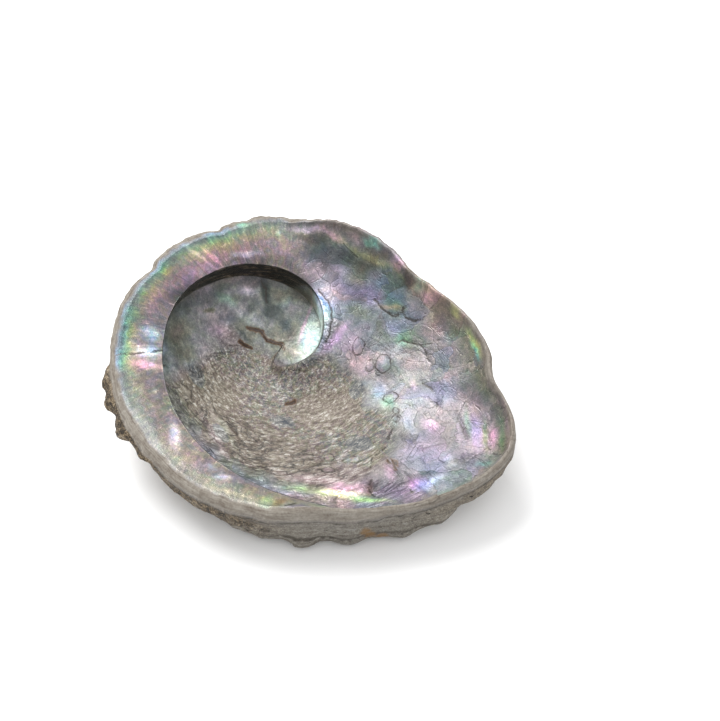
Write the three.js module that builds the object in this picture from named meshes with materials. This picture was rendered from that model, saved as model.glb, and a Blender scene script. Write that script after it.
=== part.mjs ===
// One empty abalone shell, lying on its domed back with the hollow up.
//
// The shell grew as one piece, so it is one closed solid. It is worked out as a
// polar grid around the spire, the point where growth began. Rings run from the
// spire out over the bowl and the flat inner ledge to the lip, over the lip, and
// back across the rough outside to the point behind the spire.
//
// Millimetres and degrees. Shell coordinates have the spire at the origin, the
// plane of the lip at z = 0, +X towards the front of the animal and angles
// counter-clockwise seen from inside. Place() then leans the shell as it rests.
import * as THREE from 'three';

// Outline of the lip: distance from the spire, every LIP_STEP degrees from 0.
const LIP_STEP = 15;
const LIP = [
  109.4, 91, 74, 57.5, 51, 47, 43.6, 40.6, 39.5, 41, 41.3, 43,
  48, 53, 58, 64.5, 70, 76.5, 81.6, 88, 91.8, 94.8, 99.4, 106.6,
];
const LIP_THICKNESS = 2;
const LEDGE_LIP_THICKNESS = 4.4;

// Chips in the lip: angle, depth, half width in degrees.
const CHIPS = [[13, 4.5, 4.5], [52, 0.8, 6], [150, 0.8, 5], [166, 1.4, 3], [203, 2, 4]];

// The crest is the inner edge of the ledge. It winds out of the spire for more
// than one turn and ends in the lip. Keys are every CREST_STEP degrees.
const CREST_START = -90;
const CREST_END = 342;
const CREST_STEP = 30;
const CREST = [9, 12, 15.3, 16.6, 16.3, 17, 18.7, 20.7, 24.7, 32, 41, 49.5, 62, 76.3, 92.3, 112];
const CREST_HEIGHT = [-28, -27, -25, -22.5, -20, -17.5, -15, -12.5, -10.5, -9, -8, -7, -7, -7, -6, -3];
// How far the wall under the crest runs inwards on its way down; below 0 it is undercut.
const WALL_RUN = [3, 3, 3, 3, 2, 1, 0.5, 0, 0, -0.5, -2, -4, -5.5, -5.5, -4, -2];
// Width of the slope on the outer side of the crest, before it turns into the ledge.
const FLANK_WIDTH = [9, 10, 12, 14, 16, 17, 18, 18, 18, 18, 18, 18, 18, 18, 18, 18];
const WALL_WIDTH = 2.4;
const LEDGE_SWELL = 1.3;

// Depth of the bowl under the lip at the spire, and what is added at its deepest place.
const DEPTH = 24.5;
const DEEPER = 10.5;
const DEEPEST = { x: 6, y: -12, spread: 55 };
const SHELL_THICKNESS = 3.6;
// The near side has a steep wall down to a keel: how high, how sharp the keel is,
// and the angle where it is highest, with the spread either way.
const INNER_WALL = { height: 18, sharpness: 12, angle: 300, spread: 70 };
const OUTER_WALL = { height: 25, sharpness: 60, angle: 319, spread: 58 };

// Sealed breathing pores: angle, share of the way from spire to lip, mound height, radius.
const PORES = [
  [200, 0.80, 1.2, 3.5], [216, 0.82, 1.5, 3.5], [231, 0.83, 1.8, 4], [245, 0.84, 2.1, 4],
  [258, 0.85, 2.4, 4.5], [270, 0.86, 2.7, 4.5], [281, 0.86, 2.9, 5], [292, 0.86, 3.0, 5],
  [303, 0.86, 3.1, 5], [314, 0.86, 3.2, 5.5], [325, 0.85, 3.3, 5.5], [335, 0.84, 3.4, 5.5],
  [344, 0.86, 3.3, 5.5], [352, 0.90, 2.8, 5],
];
// Crusts grown on the outside: angle, share of the way to the lip, height, radius.
const CRUSTS = [
  [245, 0.97, 4.0, 7], [254, 0.96, 2.2, 6], [262, 0.965, 3.4, 5], [271, 0.97, 1.8, 6],
  [281, 0.97, 1.2, 7], [291, 0.97, 1.6, 6], [305, 0.95, 1.0, 8], [316, 0.94, 2.0, 7],
  [325, 0.96, 0.9, 7], [334, 0.95, 1.4, 6], [347, 0.97, 1.3, 6], [356, 0.97, 1.4, 6],
  [20, 0.8, 1.6, 9], [48, 0.75, 1.9, 8], [75, 0.7, 1.7, 8], [110, 0.8, 1.5, 7],
  [150, 0.75, 1.7, 8], [185, 0.7, 1.5, 8], [350, 0.6, 1.4, 9], [35, 0.5, 1.5, 8],
];
// Crusts that stand out sideways under the lip: angle, depth below it, how far out, radius.
const SIDE_LUMPS = [
  [244, 5, 4.5, 5], [250, 6, 5.5, 5], [260, 4.5, 5, 4.5], [268, 3, 2, 6], [277, 4, 1.4, 6],
  [290, 8, 0.6, 5], [303, 18, 1.8, 6], [313, 20, 4.2, 6], [323, 19, 2.6, 7], [334, 20, 4, 7],
  [342, 15, 3, 6], [351, 9, 1, 6],
];
// Blisters and dimples of the inside: angle, distance from the spire, height, radius.
const BLISTERS = [
  [283, 53, 1.6, 6], [335.2, 81, -2.0, 4.5], [343.5, 90, 0.8, 3.5], [49, 51.5, -1.8, 3],
  [16, 43, 1.2, 5], [26, 31, 0.9, 4], [300, 60, 0.9, 5], [318, 62, 0.9, 5],
];

// How the shell rests: the lip plane leans LEAN degrees about a level line that
// is LEAN_AXIS degrees round from +X, and the dome's lowest part is worn flat.
const LEAN = 10;
const LEAN_AXIS = 37;
const BOX_CENTRE = { x: 29.04, y: -19.27 };
const FOOT_LEVEL = -41;
const FOOT = { x: 16, y: -22, inner: 14, outer: 28 };

// The grid: columns around the spire, rings from the spire to the crest after one
// whole turn, rings over the lip and rings across the outside.
const COLUMNS = 76;
const TURN_RINGS = 25;
const INNER_RINGS = Math.round((TURN_RINGS * (CREST_END - CREST_START)) / 360);
const WALL_RINGS = 3;
const CROWN_RINGS = 3;
const OUTER_RINGS = 21;

const radians = (degrees) => (degrees * Math.PI) / 180;
const clamp = (value, low, high) => Math.min(Math.max(value, low), high);
const round360 = (angle) => ((angle % 360) + 360) % 360;
const apart = (a, b) => round360(a - b + 180) - 180;
const gauss = (value) => Math.exp(-value * value);

function ease(low, high, value) {
  const t = clamp((value - low) / (high - low), 0, 1);
  return t * t * (3 - 2 * t);
}

// A smooth curve through keys that stand every step degrees from start.
function keyed(keys, step, angle, start, closed) {
  const t = (angle - start) / step;
  const i = Math.floor(t);
  const f = t - i;
  const n = keys.length;
  const pick = (k) => (closed ? keys[((k % n) + n) % n] : keys[clamp(k, 0, n - 1)]);
  const [a, b, c, d] = [pick(i - 1), pick(i), pick(i + 1), pick(i + 2)];
  return b + 0.5 * f * (c - a + f * (2 * a - 5 * b + 4 * c - d + f * (3 * (b - c) + d - a)));
}

const lip = (angle) => keyed(LIP, LIP_STEP, angle, 0, true);
const alongCrest = (keys, turn) => keyed(keys, CREST_STEP, turn, CREST_START, false);

// The lip is not quite level: it waves a millimetre or so up and down.
function lipHeight(angle) {
  return Math.sin(radians(2 * angle) + 0.6) + 0.5 * Math.sin(radians(5 * angle) + 1);
}

function chip(angle) {
  return CHIPS.reduce((sum, [at, depth, half]) => sum + depth * gauss(apart(angle, at) / half), 0);
}

// Where the inside of the lip begins: the lip is thicker along the ledge.
function insideLip(angle) {
  const ledge = ease(95, 150, angle) * (1 - ease(300, 345, angle));
  return lip(angle) - LIP_THICKNESS - (LEDGE_LIP_THICKNESS - LIP_THICKNESS) * ledge;
}

// Plan radius of the crest after so many degrees of turn.
function crest(turn) {
  const radius = alongCrest(CREST, turn);
  return radius + (insideLip(round360(turn)) - radius) * ease(CREST_END - 25, CREST_END, turn);
}

function bowl(share, angle, deep, wall) {
  const side = gauss(apart(angle, wall.angle) / wall.spread);
  const steep = wall.height * side * (1 - share ** wall.sharpness) ** 0.45;
  return steep + (deep - wall.height * side) * (1 - share ** 2.1) ** (0.55 + 0.25 * side);
}

function deepAt(x, y) {
  return DEPTH + DEEPER * gauss(Math.hypot(x - DEEPEST.x, y - DEEPEST.y) / DEEPEST.spread);
}

// Height of the open bowl, as if it had no crest or ledge.
function floorHeight(x, y) {
  const angle = round360((Math.atan2(y, x) * 180) / Math.PI);
  const share = clamp(Math.hypot(x, y) / insideLip(angle), 0, 1);
  return lipHeight(angle) * share ** 4 - bowl(share, angle, deepAt(x, y), INNER_WALL);
}

// The crest rises out of the bowl at its start and sinks into the lip at its end.
const rise = (turn) => ease(CREST_START + 6, CREST_START + 70, turn) * (1 - ease(CREST_END - 40, CREST_END, turn));

function crestHeight(turn, x, y) {
  const floor = floorHeight(x, y);
  return floor + (Math.max(alongCrest(CREST_HEIGHT, turn), floor + 0.3) - floor) * rise(turn);
}

function blister(x, y) {
  return BLISTERS.reduce((sum, [angle, radius, height, size]) => {
    const bx = radius * Math.cos(radians(angle));
    const by = radius * Math.sin(radians(angle));
    return sum + height * gauss(Math.hypot(x - bx, y - by) / size);
  }, 0);
}

// Radii between two stations, drawn closer together at both of them. A stretch
// that ends in a crest keeps its last rings for the wall under it.
function spaced(i, from, to, start, end, wall) {
  const kept = wall > 0 ? Math.min(WALL_RINGS, Math.floor((to - from) / 2)) : 0;
  if (i > to - kept) return end - (wall * (to - i)) / kept;
  const t = clamp((i - from) / Math.max(to - kept - from, 1), 0, 1);
  return start + (end - wall - start) * (t - (0.5 * Math.sin(2 * Math.PI * t)) / (2 * Math.PI));
}

// One column of the inside: the crest crosses it once or twice, always at a ring,
// because the ring number grows with the turn of the spiral.
function innerColumn(column) {
  const turn = CREST_START + (360 * column) / COLUMNS;
  const angle = round360(turn);
  const [cos, sin] = [Math.cos(radians(angle)), Math.sin(radians(angle))];
  const twice = turn <= CREST_END - 360;
  const rim = insideLip(angle);
  const first = crest(turn) * ease(CREST_START - 2, CREST_START + 14, turn);
  const firstRing = Math.round((TURN_RINGS * column) / COLUMNS);
  const second = twice ? crest(turn + 360) : rim;
  const secondRing = twice ? firstRing + TURN_RINGS : INNER_RINGS;

  const points = [];
  for (let i = 0; i <= INNER_RINGS; i += 1) {
    const before = i <= firstRing;
    const beyond = twice && i > secondRing;

    // The wall that drops from the crest on the outside of this point.
    const walled = before || (twice && !beyond);
    const wallTurn = before ? turn : turn + 360;
    const wallCrest = before ? first : second;
    const width = Math.min(WALL_WIDTH, 0.3 * wallCrest);
    let radius;
    if (before) radius = spaced(i, 0, firstRing, 0, first, width);
    else if (!beyond) radius = spaced(i, firstRing, secondRing, first, second, twice ? width : 0);
    else radius = spaced(i, secondRing, INNER_RINGS, second, rim, 0);
    let run = alongCrest(WALL_RUN, wallTurn);
    if (before) run = Math.min(run, 0.5 * wallCrest);
    run = width + (run - width) * rise(wallTurn);
    const down = walled ? (wallCrest - radius) / Math.max(width, 1e-6) : 9;
    const part = clamp(down, 0, 1);
    let shift = 0;
    if (walled && down <= 1) shift = width * part - run * Math.sin((part * Math.PI) / 2);
    else if (walled) shift = (width - run) * gauss(((down - 1) * width) / 8);
    const [x, y] = [(radius + shift) * cos, (radius + shift) * sin];
    const floor = floorHeight(x, y);

    // The slope or ledge on the outer side of the crest that lies inside this point.
    let height = floor;
    if (!before) {
      const innerTurn = beyond ? turn + 360 : turn;
      const innerCrest = beyond ? second : first;
      const away = Math.max(radius - innerCrest, 0);
      const [cx, cy] = [innerCrest * cos, innerCrest * sin];
      const top = crestHeight(innerTurn, cx, cy);
      const flank = floor + (top - floorHeight(cx, cy)) * gauss(away / alongCrest(FLANK_WIDTH, innerTurn));
      const across = clamp(away / Math.max(rim - innerCrest, 1e-3), 0, 1);
      const ledge = top + (lipHeight(angle) - top) * across ** 1.1 + LEDGE_SWELL * Math.sin(Math.PI * across);
      const flat = ease(85, 128, innerTurn) * (1 - ease(CREST_END - 45, CREST_END, innerTurn));
      height = flank * (1 - flat) + ledge * flat;
    }
    if (walled) {
      const top = crestHeight(wallTurn, wallCrest * cos, wallCrest * sin);
      const fillet = 0.28 * Math.max(top - height, 0) * ease(60, 180, wallTurn);
      height += fillet * Math.exp((-Math.max(down - 1, 0) * width) / 6);
      if (down < 1) height = top + (height - top) * part ** 1.3;
    }
    if (i < INNER_RINGS) height += blister(x, y) * (1 - part * (down < 1 ? 1 : 0));
    points.push([x, y, height]);
  }
  return points;
}

// How far the crusts stand out sideways, so far under the lower edge of the lip.
function sideLumps(angle, under) {
  const total = SIDE_LUMPS.reduce((sum, [at, drop, tall, size]) => {
    const along = radians(apart(angle, at)) * lip(at);
    return sum + tall * gauss(along / size) * gauss((under - drop) / size);
  }, 0);
  return total * ease(0, 2.5, under);
}

// The outside without its relief, by angle and share of the way to the lip.
function outerBase(angle, share) {
  const [cos, sin] = [Math.cos(radians(angle)), Math.sin(radians(angle))];
  const radius = lip(angle) * share;
  const deep = deepAt(radius * cos, radius * sin) + SHELL_THICKNESS - 1.2;
  const height = lipHeight(angle) * share ** 6 - 1.2 - bowl(share, angle, deep, OUTER_WALL);
  const out = radius + sideLumps(angle, lipHeight(angle) - 1.2 - height);
  return new THREE.Vector3(out * cos, out * sin, height);
}

// Relief of the outside: growth ridges, low folds, the coil of the spire, pores and crusts.
function relief(angle, share, at) {
  const t = radians(angle);
  const ridge = 0.9 * Math.sin(2 * Math.PI * (5.5 * share + 0.3 * Math.sin(3 * t + 1) + 0.12 * Math.sin(8 * t + 2)));
  const fold = 0.5 * Math.sin(9 * t + 4 * share);
  const coil = 1.2 * Math.cos(t - 5.5 * Math.log(share + 0.04)) * (1 - ease(0.2, 0.42, share));
  let height = ridge * ease(0.12, 0.35, share) * (1 - ease(0.86, 0.97, share));
  height += fold * ease(0.3, 0.6, share) * (1 - ease(0.9, 1, share)) + coil * ease(0, 0.06, share);
  for (const [around, out, tall, size] of [...PORES, ...CRUSTS]) {
    const spot = outerBase(around, out);
    height += tall * gauss(at.distanceTo(spot) / size);
  }
  const worn = Math.hypot(at.x - FOOT.x, at.y - FOOT.y);
  return height * ease(FOOT.inner, FOOT.outer, worn) * (1 - ease(0.985, 1, share));
}

function outerPoint(angle, share) {
  const at = outerBase(angle, share);
  const around = outerBase(angle + 1, share).sub(outerBase(angle - 1, share));
  const along = outerBase(angle, share).sub(outerBase(angle, share - 0.01));
  const outwards = around.cross(along).normalize().negate();
  return at.addScaledVector(outwards, relief(angle, share, at));
}

// A chip pulls the shell in towards the spire, most at the lip itself.
function chipped([x, y, z], angle) {
  const edge = lip(angle);
  const pull = 1 - (chip(angle) / edge) * ease(0.72, 1, Math.hypot(x, y) / edge);
  return [x * pull, y * pull, z];
}

function shellColumn(column) {
  const angle = round360(CREST_START + (360 * column) / COLUMNS);
  const inner = innerColumn(column);
  const [cos, sin] = [Math.cos(radians(angle)), Math.sin(radians(angle))];
  const [inside, outside] = [insideLip(angle), lip(angle)];
  const edge = inner[INNER_RINGS][2];
  const points = inner.slice(1);
  for (let i = 1; i < CROWN_RINGS; i += 1) {
    const t = i / CROWN_RINGS;
    const radius = (inside + outside) / 2 - ((outside - inside) / 2) * Math.cos(Math.PI * t);
    const height = edge * (1 - t) + (lipHeight(angle) - 1.2) * t + 0.9 * Math.sin(Math.PI * t);
    points.push([radius * cos, radius * sin, height]);
  }
  for (let i = 0; i < OUTER_RINGS; i += 1) {
    const share = Math.sin(((1 - i / OUTER_RINGS) * Math.PI) / 2) ** 0.8;
    const point = i === 0 ? outerBase(angle, 1) : outerPoint(angle, share);
    points.push(point.toArray());
  }
  return points.map((point) => chipped(point, angle));
}

// Lean the shell, stand it on its foot and put the middle of its box over the origin.
function place(point) {
  const axis = new THREE.Vector3(Math.cos(radians(LEAN_AXIS)), Math.sin(radians(LEAN_AXIS)), 0);
  const leant = new THREE.Vector3(...point).applyAxisAngle(axis, radians(LEAN));
  return [leant.x - BOX_CENTRE.x, leant.y - BOX_CENTRE.y, Math.max(leant.z - FOOT_LEVEL, 0)];
}

function shellGeometry() {
  const columns = Array.from({ length: COLUMNS }, (_, column) => shellColumn(column));
  const rings = columns[0].length;
  const positions = [...place([0, 0, innerColumn(0)[0][2]])];
  for (let ring = 0; ring < rings; ring += 1) {
    for (const points of columns) positions.push(...place(points[ring]));
  }
  positions.push(...place(outerBase(0, 0).toArray()));

  const at = (ring, column) => 1 + ring * COLUMNS + (column % COLUMNS);
  const last = rings * COLUMNS + 1;
  const crestRing = (column) => Math.round((TURN_RINGS * column) / COLUMNS);
  const faces = [];
  for (let column = 0; column < COLUMNS; column += 1) {
    faces.push(0, at(0, column), at(0, column + 1));
    // Where the crest steps out one ring, the diagonal follows it.
    const steps = column + 1 < COLUMNS && crestRing(column + 1) !== crestRing(column);
    for (let ring = 0; ring + 1 < rings; ring += 1) {
      const [a, b, c, d] = [at(ring, column), at(ring + 1, column), at(ring + 1, column + 1), at(ring, column + 1)];
      if (steps) faces.push(a, b, c, a, c, d);
      else faces.push(a, b, d, b, c, d);
    }
    faces.push(last, at(rings - 1, column + 1), at(rings - 1, column));
  }
  const geometry = new THREE.BufferGeometry();
  geometry.setAttribute('position', new THREE.Float32BufferAttribute(positions, 3));
  geometry.setIndex(faces);
  geometry.computeVertexNormals();
  return geometry;
}

const nacre = new THREE.MeshStandardMaterial({ color: 0xb7aeb0, roughness: 0.35, metalness: 0.1 });
const shell = new THREE.Mesh(shellGeometry(), nacre);
shell.name = 'abalone_shell';

const part = new THREE.Group();
part.add(shell);
export default part;
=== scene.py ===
# %% [markdown]
# # An empty abalone shell
# The shell lies on its domed back with the hollow up. It is one piece: a bowl lined with
# nacre, a flat inner ledge that winds out of the spire, a thin lip and a rough outside with
# crusts grown on it. The script makes that one piece as a fine mesh with one material, which is
# nacre inside and crust outside, and the two meet at the lip.
#
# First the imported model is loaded. It gives the frame: where the shell stands and how big it is.

# %% Load the frame
import bpy
import numpy as np
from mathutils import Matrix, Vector


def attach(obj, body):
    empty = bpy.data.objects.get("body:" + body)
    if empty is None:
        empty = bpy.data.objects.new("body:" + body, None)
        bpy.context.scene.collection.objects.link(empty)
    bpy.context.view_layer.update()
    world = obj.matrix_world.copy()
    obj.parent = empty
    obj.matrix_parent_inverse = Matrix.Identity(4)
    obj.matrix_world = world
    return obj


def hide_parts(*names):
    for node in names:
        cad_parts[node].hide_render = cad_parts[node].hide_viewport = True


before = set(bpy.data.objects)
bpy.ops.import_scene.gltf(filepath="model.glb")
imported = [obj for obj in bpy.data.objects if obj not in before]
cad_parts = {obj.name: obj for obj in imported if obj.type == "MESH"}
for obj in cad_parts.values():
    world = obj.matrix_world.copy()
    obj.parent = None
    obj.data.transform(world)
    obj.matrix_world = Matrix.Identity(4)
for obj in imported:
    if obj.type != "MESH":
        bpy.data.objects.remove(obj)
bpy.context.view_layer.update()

# %% [markdown]
# ## Small tools for shapes
# Everything here works on whole numpy arrays. Lengths are millimetres and angles degrees, as
# a shell would be measured, and only the last step turns them into metres. Shell coordinates
# have the spire at the origin, the plane of the lip at z = 0, +X towards the animal's front
# and angles counter-clockwise as seen from inside.

# %% Curves, bumps and repeatable noise
MM = 0.001


def ease(low, high, value):
    """0 below low, 1 above high, and a smooth step t*t*(3-2t) between them."""
    t = np.clip((value - low) / (high - low), 0, 1)
    return t * t * (3 - 2 * t)


def gauss(value):
    """A bell: e to the power of minus value squared."""
    return np.exp(-np.square(value))


def apart(a, b):
    """The signed angle from b to a, from -180 to 180 degrees."""
    return (np.asarray(a, float) - b + 180) % 360 - 180


def keyed(keys, step, angle, start=0.0, closed=True):
    """A Catmull-Rom curve through keys that stand every step degrees from start."""
    t = (np.asarray(angle, float) - start) / step
    i = np.floor(t).astype(int)
    f = t - i
    keys = np.asarray(keys, float)

    def pick(k):
        return keys[k % len(keys)] if closed else keys[np.clip(k, 0, len(keys) - 1)]

    a, b, c, d = pick(i - 1), pick(i), pick(i + 1), pick(i + 2)
    return b + 0.5 * f * (c - a + f * (2 * a - 5 * b + 4 * c - d + f * (3 * (b - c) + d - a)))


def lattice(ix, iy, iz, seed):
    """A repeatable number from 0 to 1 for each whole-numbered point, by mixing its bits."""
    h = (ix * 374761393 + iy * 668265263 + iz * 224682251 + seed * 326648991) & 0xFFFFFFFF
    h = ((h ^ (h >> 13)) * 1274126177) & 0xFFFFFFFF
    return ((h ^ (h >> 16)) & 0xFFFFFF) / 0xFFFFFF


def noise(x, y, z, size, seed):
    """Smooth noise from -1 to 1 with bumps about size across: lattice numbers, eased between."""
    x, y, z = np.broadcast_arrays(*(np.asarray(v, float) / size for v in (x, y, z)))
    ix, iy, iz = (np.floor(v).astype(np.int64) for v in (x, y, z))
    fx, fy, fz = (ease(0, 1, v - i) for v, i in ((x, ix), (y, iy), (z, iz)))
    total = 0
    for dx in (0, 1):
        for dy in (0, 1):
            for dz in (0, 1):
                weight = (fx if dx else 1 - fx) * (fy if dy else 1 - fy) * (fz if dz else 1 - fz)
                total = total + weight * lattice(ix + dx, iy + dy, iz + dz, seed)
    return 2 * total - 1


def fractal(x, y, z, size, seed, octaves=4):
    """Noise plus ever finer noise: each octave has half the size and 0.55 of the height."""
    total = 0
    for k in range(octaves):
        total = total + 0.55**k * noise(x, y, z, size / 2**k, seed + k)
    return total / 1.6


def cells(x, y, size, seed):
    """Cells round jittered points: distance to the nearest, to the border, and its own number."""
    x, y = np.asarray(x, float) / size, np.asarray(y, float) / size
    ix, iy = np.floor(x).astype(np.int64), np.floor(y).astype(np.int64)
    near = np.full(x.shape, 9.0)
    second = np.full(x.shape, 9.0)
    number = np.zeros(x.shape)
    for dx in (-1, 0, 1):
        for dy in (-1, 0, 1):
            cx = ix + dx + 0.15 + 0.7 * lattice(ix + dx, iy + dy, 1, seed)
            cy = iy + dy + 0.15 + 0.7 * lattice(ix + dx, iy + dy, 2, seed)
            d = np.hypot(x - cx, y - cy)
            closer = d < near
            second = np.where(closer, near, np.minimum(second, d))
            number = np.where(closer, lattice(ix + dx, iy + dy, 3, seed), number)
            near = np.where(closer, d, near)
    return near, second - near, number


# %% [markdown]
# ## The form of the shell
# An abalone grows by adding shell at its lip while it turns about the spire, so nearly
# everything is simple in polar form: an outline at so many millimetres from the spire for each
# angle. The same driving numbers make the CAD solid, so the fine mesh lies where it lies. One
# could sculpt the shell instead, but a formula keeps the ledge, the wall under it and the lip in
# step with each other.

# %% Driving numbers of the form
LIP = [
    109.4, 91, 74, 57.5, 51, 47, 43.6, 40.6, 39.5, 41, 41.3, 43,
    48, 53, 58, 64.5, 70, 76.5, 81.6, 88, 91.8, 94.8, 99.4, 106.6,
]  # from spire to lip, every 15 degrees
LIP_STEP = 15
LIP_THICKNESS, LEDGE_LIP_THICKNESS = 2.0, 4.4
CHIPS = [(13, 4.5, 4.5), (52, 0.8, 6), (150, 0.8, 5), (166, 1.4, 3), (203, 2, 4)]  # angle, depth, half width
CREST_START, CREST_END, CREST_STEP = -90.0, 342.0, 30
CREST = [9, 12, 15.3, 16.6, 16.3, 17, 18.7, 20.7, 24.7, 32, 41, 49.5, 62, 76.3, 92.3, 112]
CREST_HEIGHT = [-28, -27, -25, -22.5, -20, -17.5, -15, -12.5, -10.5, -9, -8, -7, -7, -7, -6, -3]
WALL_RUN = [3, 3, 3, 3, 2, 1, 0.5, 0, 0, -0.5, -2, -4, -5.5, -5.5, -4, -2]
FLANK_WIDTH = [9, 10, 12, 14, 16, 17] + [18] * 10
WALL_WIDTH, LEDGE_SWELL = 2.4, 1.3
WALL_SHARE = 0.3  # near the spire the wall takes at most this share of the crest's distance
DEPTH, DEEPER, DEEPEST_X, DEEPEST_Y, DEEP_SPREAD = 24.5, 10.5, 6, -12, 55
SHELL_THICKNESS, LIP_DROP = 3.6, 1.2  # the lip's outer edge lies LIP_DROP below its inner one
INNER_WALL = (18, 12, 300, 70)  # steep near wall: height, sharpness of its corner, angle, spread
OUTER_WALL = (25, 60, 319, 58)
LEAN, LEAN_AXIS = 10, 37
BOX_CENTRE_X, BOX_CENTRE_Y, FOOT_LEVEL = 29.04, -19.27, -41.0
FOOT_X, FOOT_Y, FOOT_INNER, FOOT_OUTER = 16, -22, 14, 28
PORES = [
    (200, 0.80, 1.2, 3.5), (216, 0.82, 1.5, 3.5), (231, 0.83, 1.8, 4), (245, 0.84, 2.1, 4),
    (258, 0.85, 2.4, 4.5), (270, 0.86, 2.7, 4.5), (281, 0.86, 2.9, 5), (292, 0.86, 3.0, 5),
    (303, 0.86, 3.1, 5), (314, 0.86, 3.2, 5.5), (325, 0.85, 3.3, 5.5), (335, 0.84, 3.4, 5.5),
    (344, 0.86, 3.3, 5.5), (352, 0.90, 2.8, 5),
]  # angle, share of the way to the lip, height, radius
CRUSTS = [
    (245, 0.97, 4.0, 7), (254, 0.96, 2.2, 6), (262, 0.965, 3.4, 5), (271, 0.97, 1.8, 6),
    (281, 0.97, 1.2, 7), (291, 0.97, 1.6, 6), (305, 0.95, 1.0, 8), (316, 0.94, 2.0, 7),
    (325, 0.96, 0.9, 7), (334, 0.95, 1.4, 6), (347, 0.97, 1.3, 6), (356, 0.97, 1.4, 6),
    (20, 0.8, 1.6, 9), (48, 0.75, 1.9, 8), (75, 0.7, 1.7, 8), (110, 0.8, 1.5, 7),
    (150, 0.75, 1.7, 8), (185, 0.7, 1.5, 8), (350, 0.6, 1.4, 9), (35, 0.5, 1.5, 8),
]
SIDE_LUMPS = [
    (244, 5, 4.5, 5), (250, 6, 5.5, 5), (260, 4.5, 5, 4.5), (268, 3, 2, 6), (277, 4, 1.4, 6),
    (290, 8, 0.6, 5), (303, 18, 1.8, 6), (313, 20, 4.2, 6), (323, 19, 2.6, 7), (334, 20, 4, 7),
    (342, 15, 3, 6), (351, 9, 1, 6),
]  # angle, depth below the lip, how far it stands out, radius
BLISTERS = [
    (283, 53, 1.6, 6), (335.2, 81, -2.0, 4.5), (343.5, 90, 0.8, 3.5), (49, 51.5, -1.8, 3),
    (16, 43, 1.2, 5), (26, 31, 0.9, 4), (300, 60, 0.9, 5), (318, 62, 0.9, 5),
]  # angle, distance from the spire, height, radius


# %% Outline, bowl and crest
def polar(angle, radius):
    """x and y of the point at that angle and distance from the spire."""
    return radius * np.cos(np.radians(angle)), radius * np.sin(np.radians(angle))


def lip(angle):
    """Distance from the spire to the lip."""
    return keyed(LIP, LIP_STEP, angle)


def along_crest(keys, turn):
    """A value keyed along the crest, by degrees of turn."""
    return keyed(keys, CREST_STEP, turn, CREST_START, False)


def lip_height(angle):
    """The lip waves up and down: a sine of twice the angle and half a sine of five times it."""
    t = np.radians(angle)
    return np.sin(2 * t + 0.6) + 0.5 * np.sin(5 * t + 1)


def inside_lip(angle):
    """Distance to where the lip's inner face begins; the lip is thicker along the ledge."""
    ledge = ease(95, 150, angle % 360) * (1 - ease(300, 345, angle % 360))
    return lip(angle) - LIP_THICKNESS - (LEDGE_LIP_THICKNESS - LIP_THICKNESS) * ledge


def crest(turn):
    """Distance from the spire to the crest, drawn into the lip over its last 25 degrees."""
    radius = along_crest(CREST, turn)
    return radius + (inside_lip(turn) - radius) * ease(CREST_END - 25, CREST_END, turn)


def bowl(share, angle, deep, wall):
    """Depth below the lip: a steep wall on the near side, then a shallow dome to the middle."""
    height, sharpness, centre, spread = wall
    side = gauss(apart(angle, centre) / spread)
    steep = height * side * (1 - share**sharpness) ** 0.45
    return steep + (deep - height * side) * (1 - share**2.1) ** (0.55 + 0.25 * side)


def deep_at(x, y):
    """Depth of the bowl's middle, greatest under the muscle scar."""
    return DEPTH + DEEPER * gauss(np.hypot(x - DEEPEST_X, y - DEEPEST_Y) / DEEP_SPREAD)


def floor_height(x, y):
    """Height of the open bowl, as if it had no crest or ledge."""
    angle = np.degrees(np.arctan2(y, x)) % 360
    share = np.clip(np.hypot(x, y) / inside_lip(angle), 0, 1)
    return lip_height(angle) * share**4 - bowl(share, angle, deep_at(x, y), INNER_WALL)


def rise(turn):
    """How much of its height the crest has: it rises out of the bowl and sinks into the lip."""
    return ease(CREST_START + 6, CREST_START + 70, turn) * (1 - ease(CREST_END - 40, CREST_END, turn))


def crest_height(turn, x, y):
    """Height of the crest's edge, never under the floor."""
    floor = floor_height(x, y)
    return floor + (np.maximum(along_crest(CREST_HEIGHT, turn), floor + 0.3) - floor) * rise(turn)


# %% [markdown]
# ## The grid
# The mesh is a polar grid. Its columns stand round the spire. Its rings start at the spire, run
# out to the lip, over it and back across the outside. A plain polar grid would cut the spiral
# crest into steps. Here the ring on which the crest lies grows with the turn of the spiral, so
# the sharp edge always falls on vertices, and where it steps out one ring the quads are split
# along it.

# %% Rings of the inside
COLUMNS = 440
TURN_RINGS = 110
INNER_RINGS = round(TURN_RINGS * (CREST_END - CREST_START) / 360)
WALL_RINGS, CROWN_RINGS, OUTER_RINGS = 9, 7, 86

column = np.arange(COLUMNS)
turn_1 = CREST_START + 360 * column / COLUMNS
angle = turn_1 % 360
cos, sin = np.cos(np.radians(angle)), np.sin(np.radians(angle))
twice = turn_1 <= CREST_END - 360
rim = inside_lip(angle)
first = crest(turn_1) * ease(CREST_START - 2, CREST_START + 14, turn_1)
second = np.where(twice, crest(turn_1 + 360), rim)
first_ring = np.round(TURN_RINGS * column / COLUMNS).astype(int)
second_ring = np.where(twice, first_ring + TURN_RINGS, INNER_RINGS)
ring = np.arange(INNER_RINGS + 1)[:, None]


def spaced(start_ring, end_ring, start, end, wall):
    """Radii from start to end, closer together at both; the last rings belong to the wall."""
    kept = np.where(wall > 0, np.minimum(WALL_RINGS, (end_ring - start_ring) // 2), 0)
    t = np.clip((ring - start_ring) / np.maximum(end_ring - kept - start_ring, 1), 0, 1)
    smooth = start + (end - wall - start) * (t - 0.5 * np.sin(2 * np.pi * t) / (2 * np.pi))
    return np.where(ring > end_ring - kept, end - wall * (end_ring - ring) / np.maximum(kept, 1), smooth)


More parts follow.
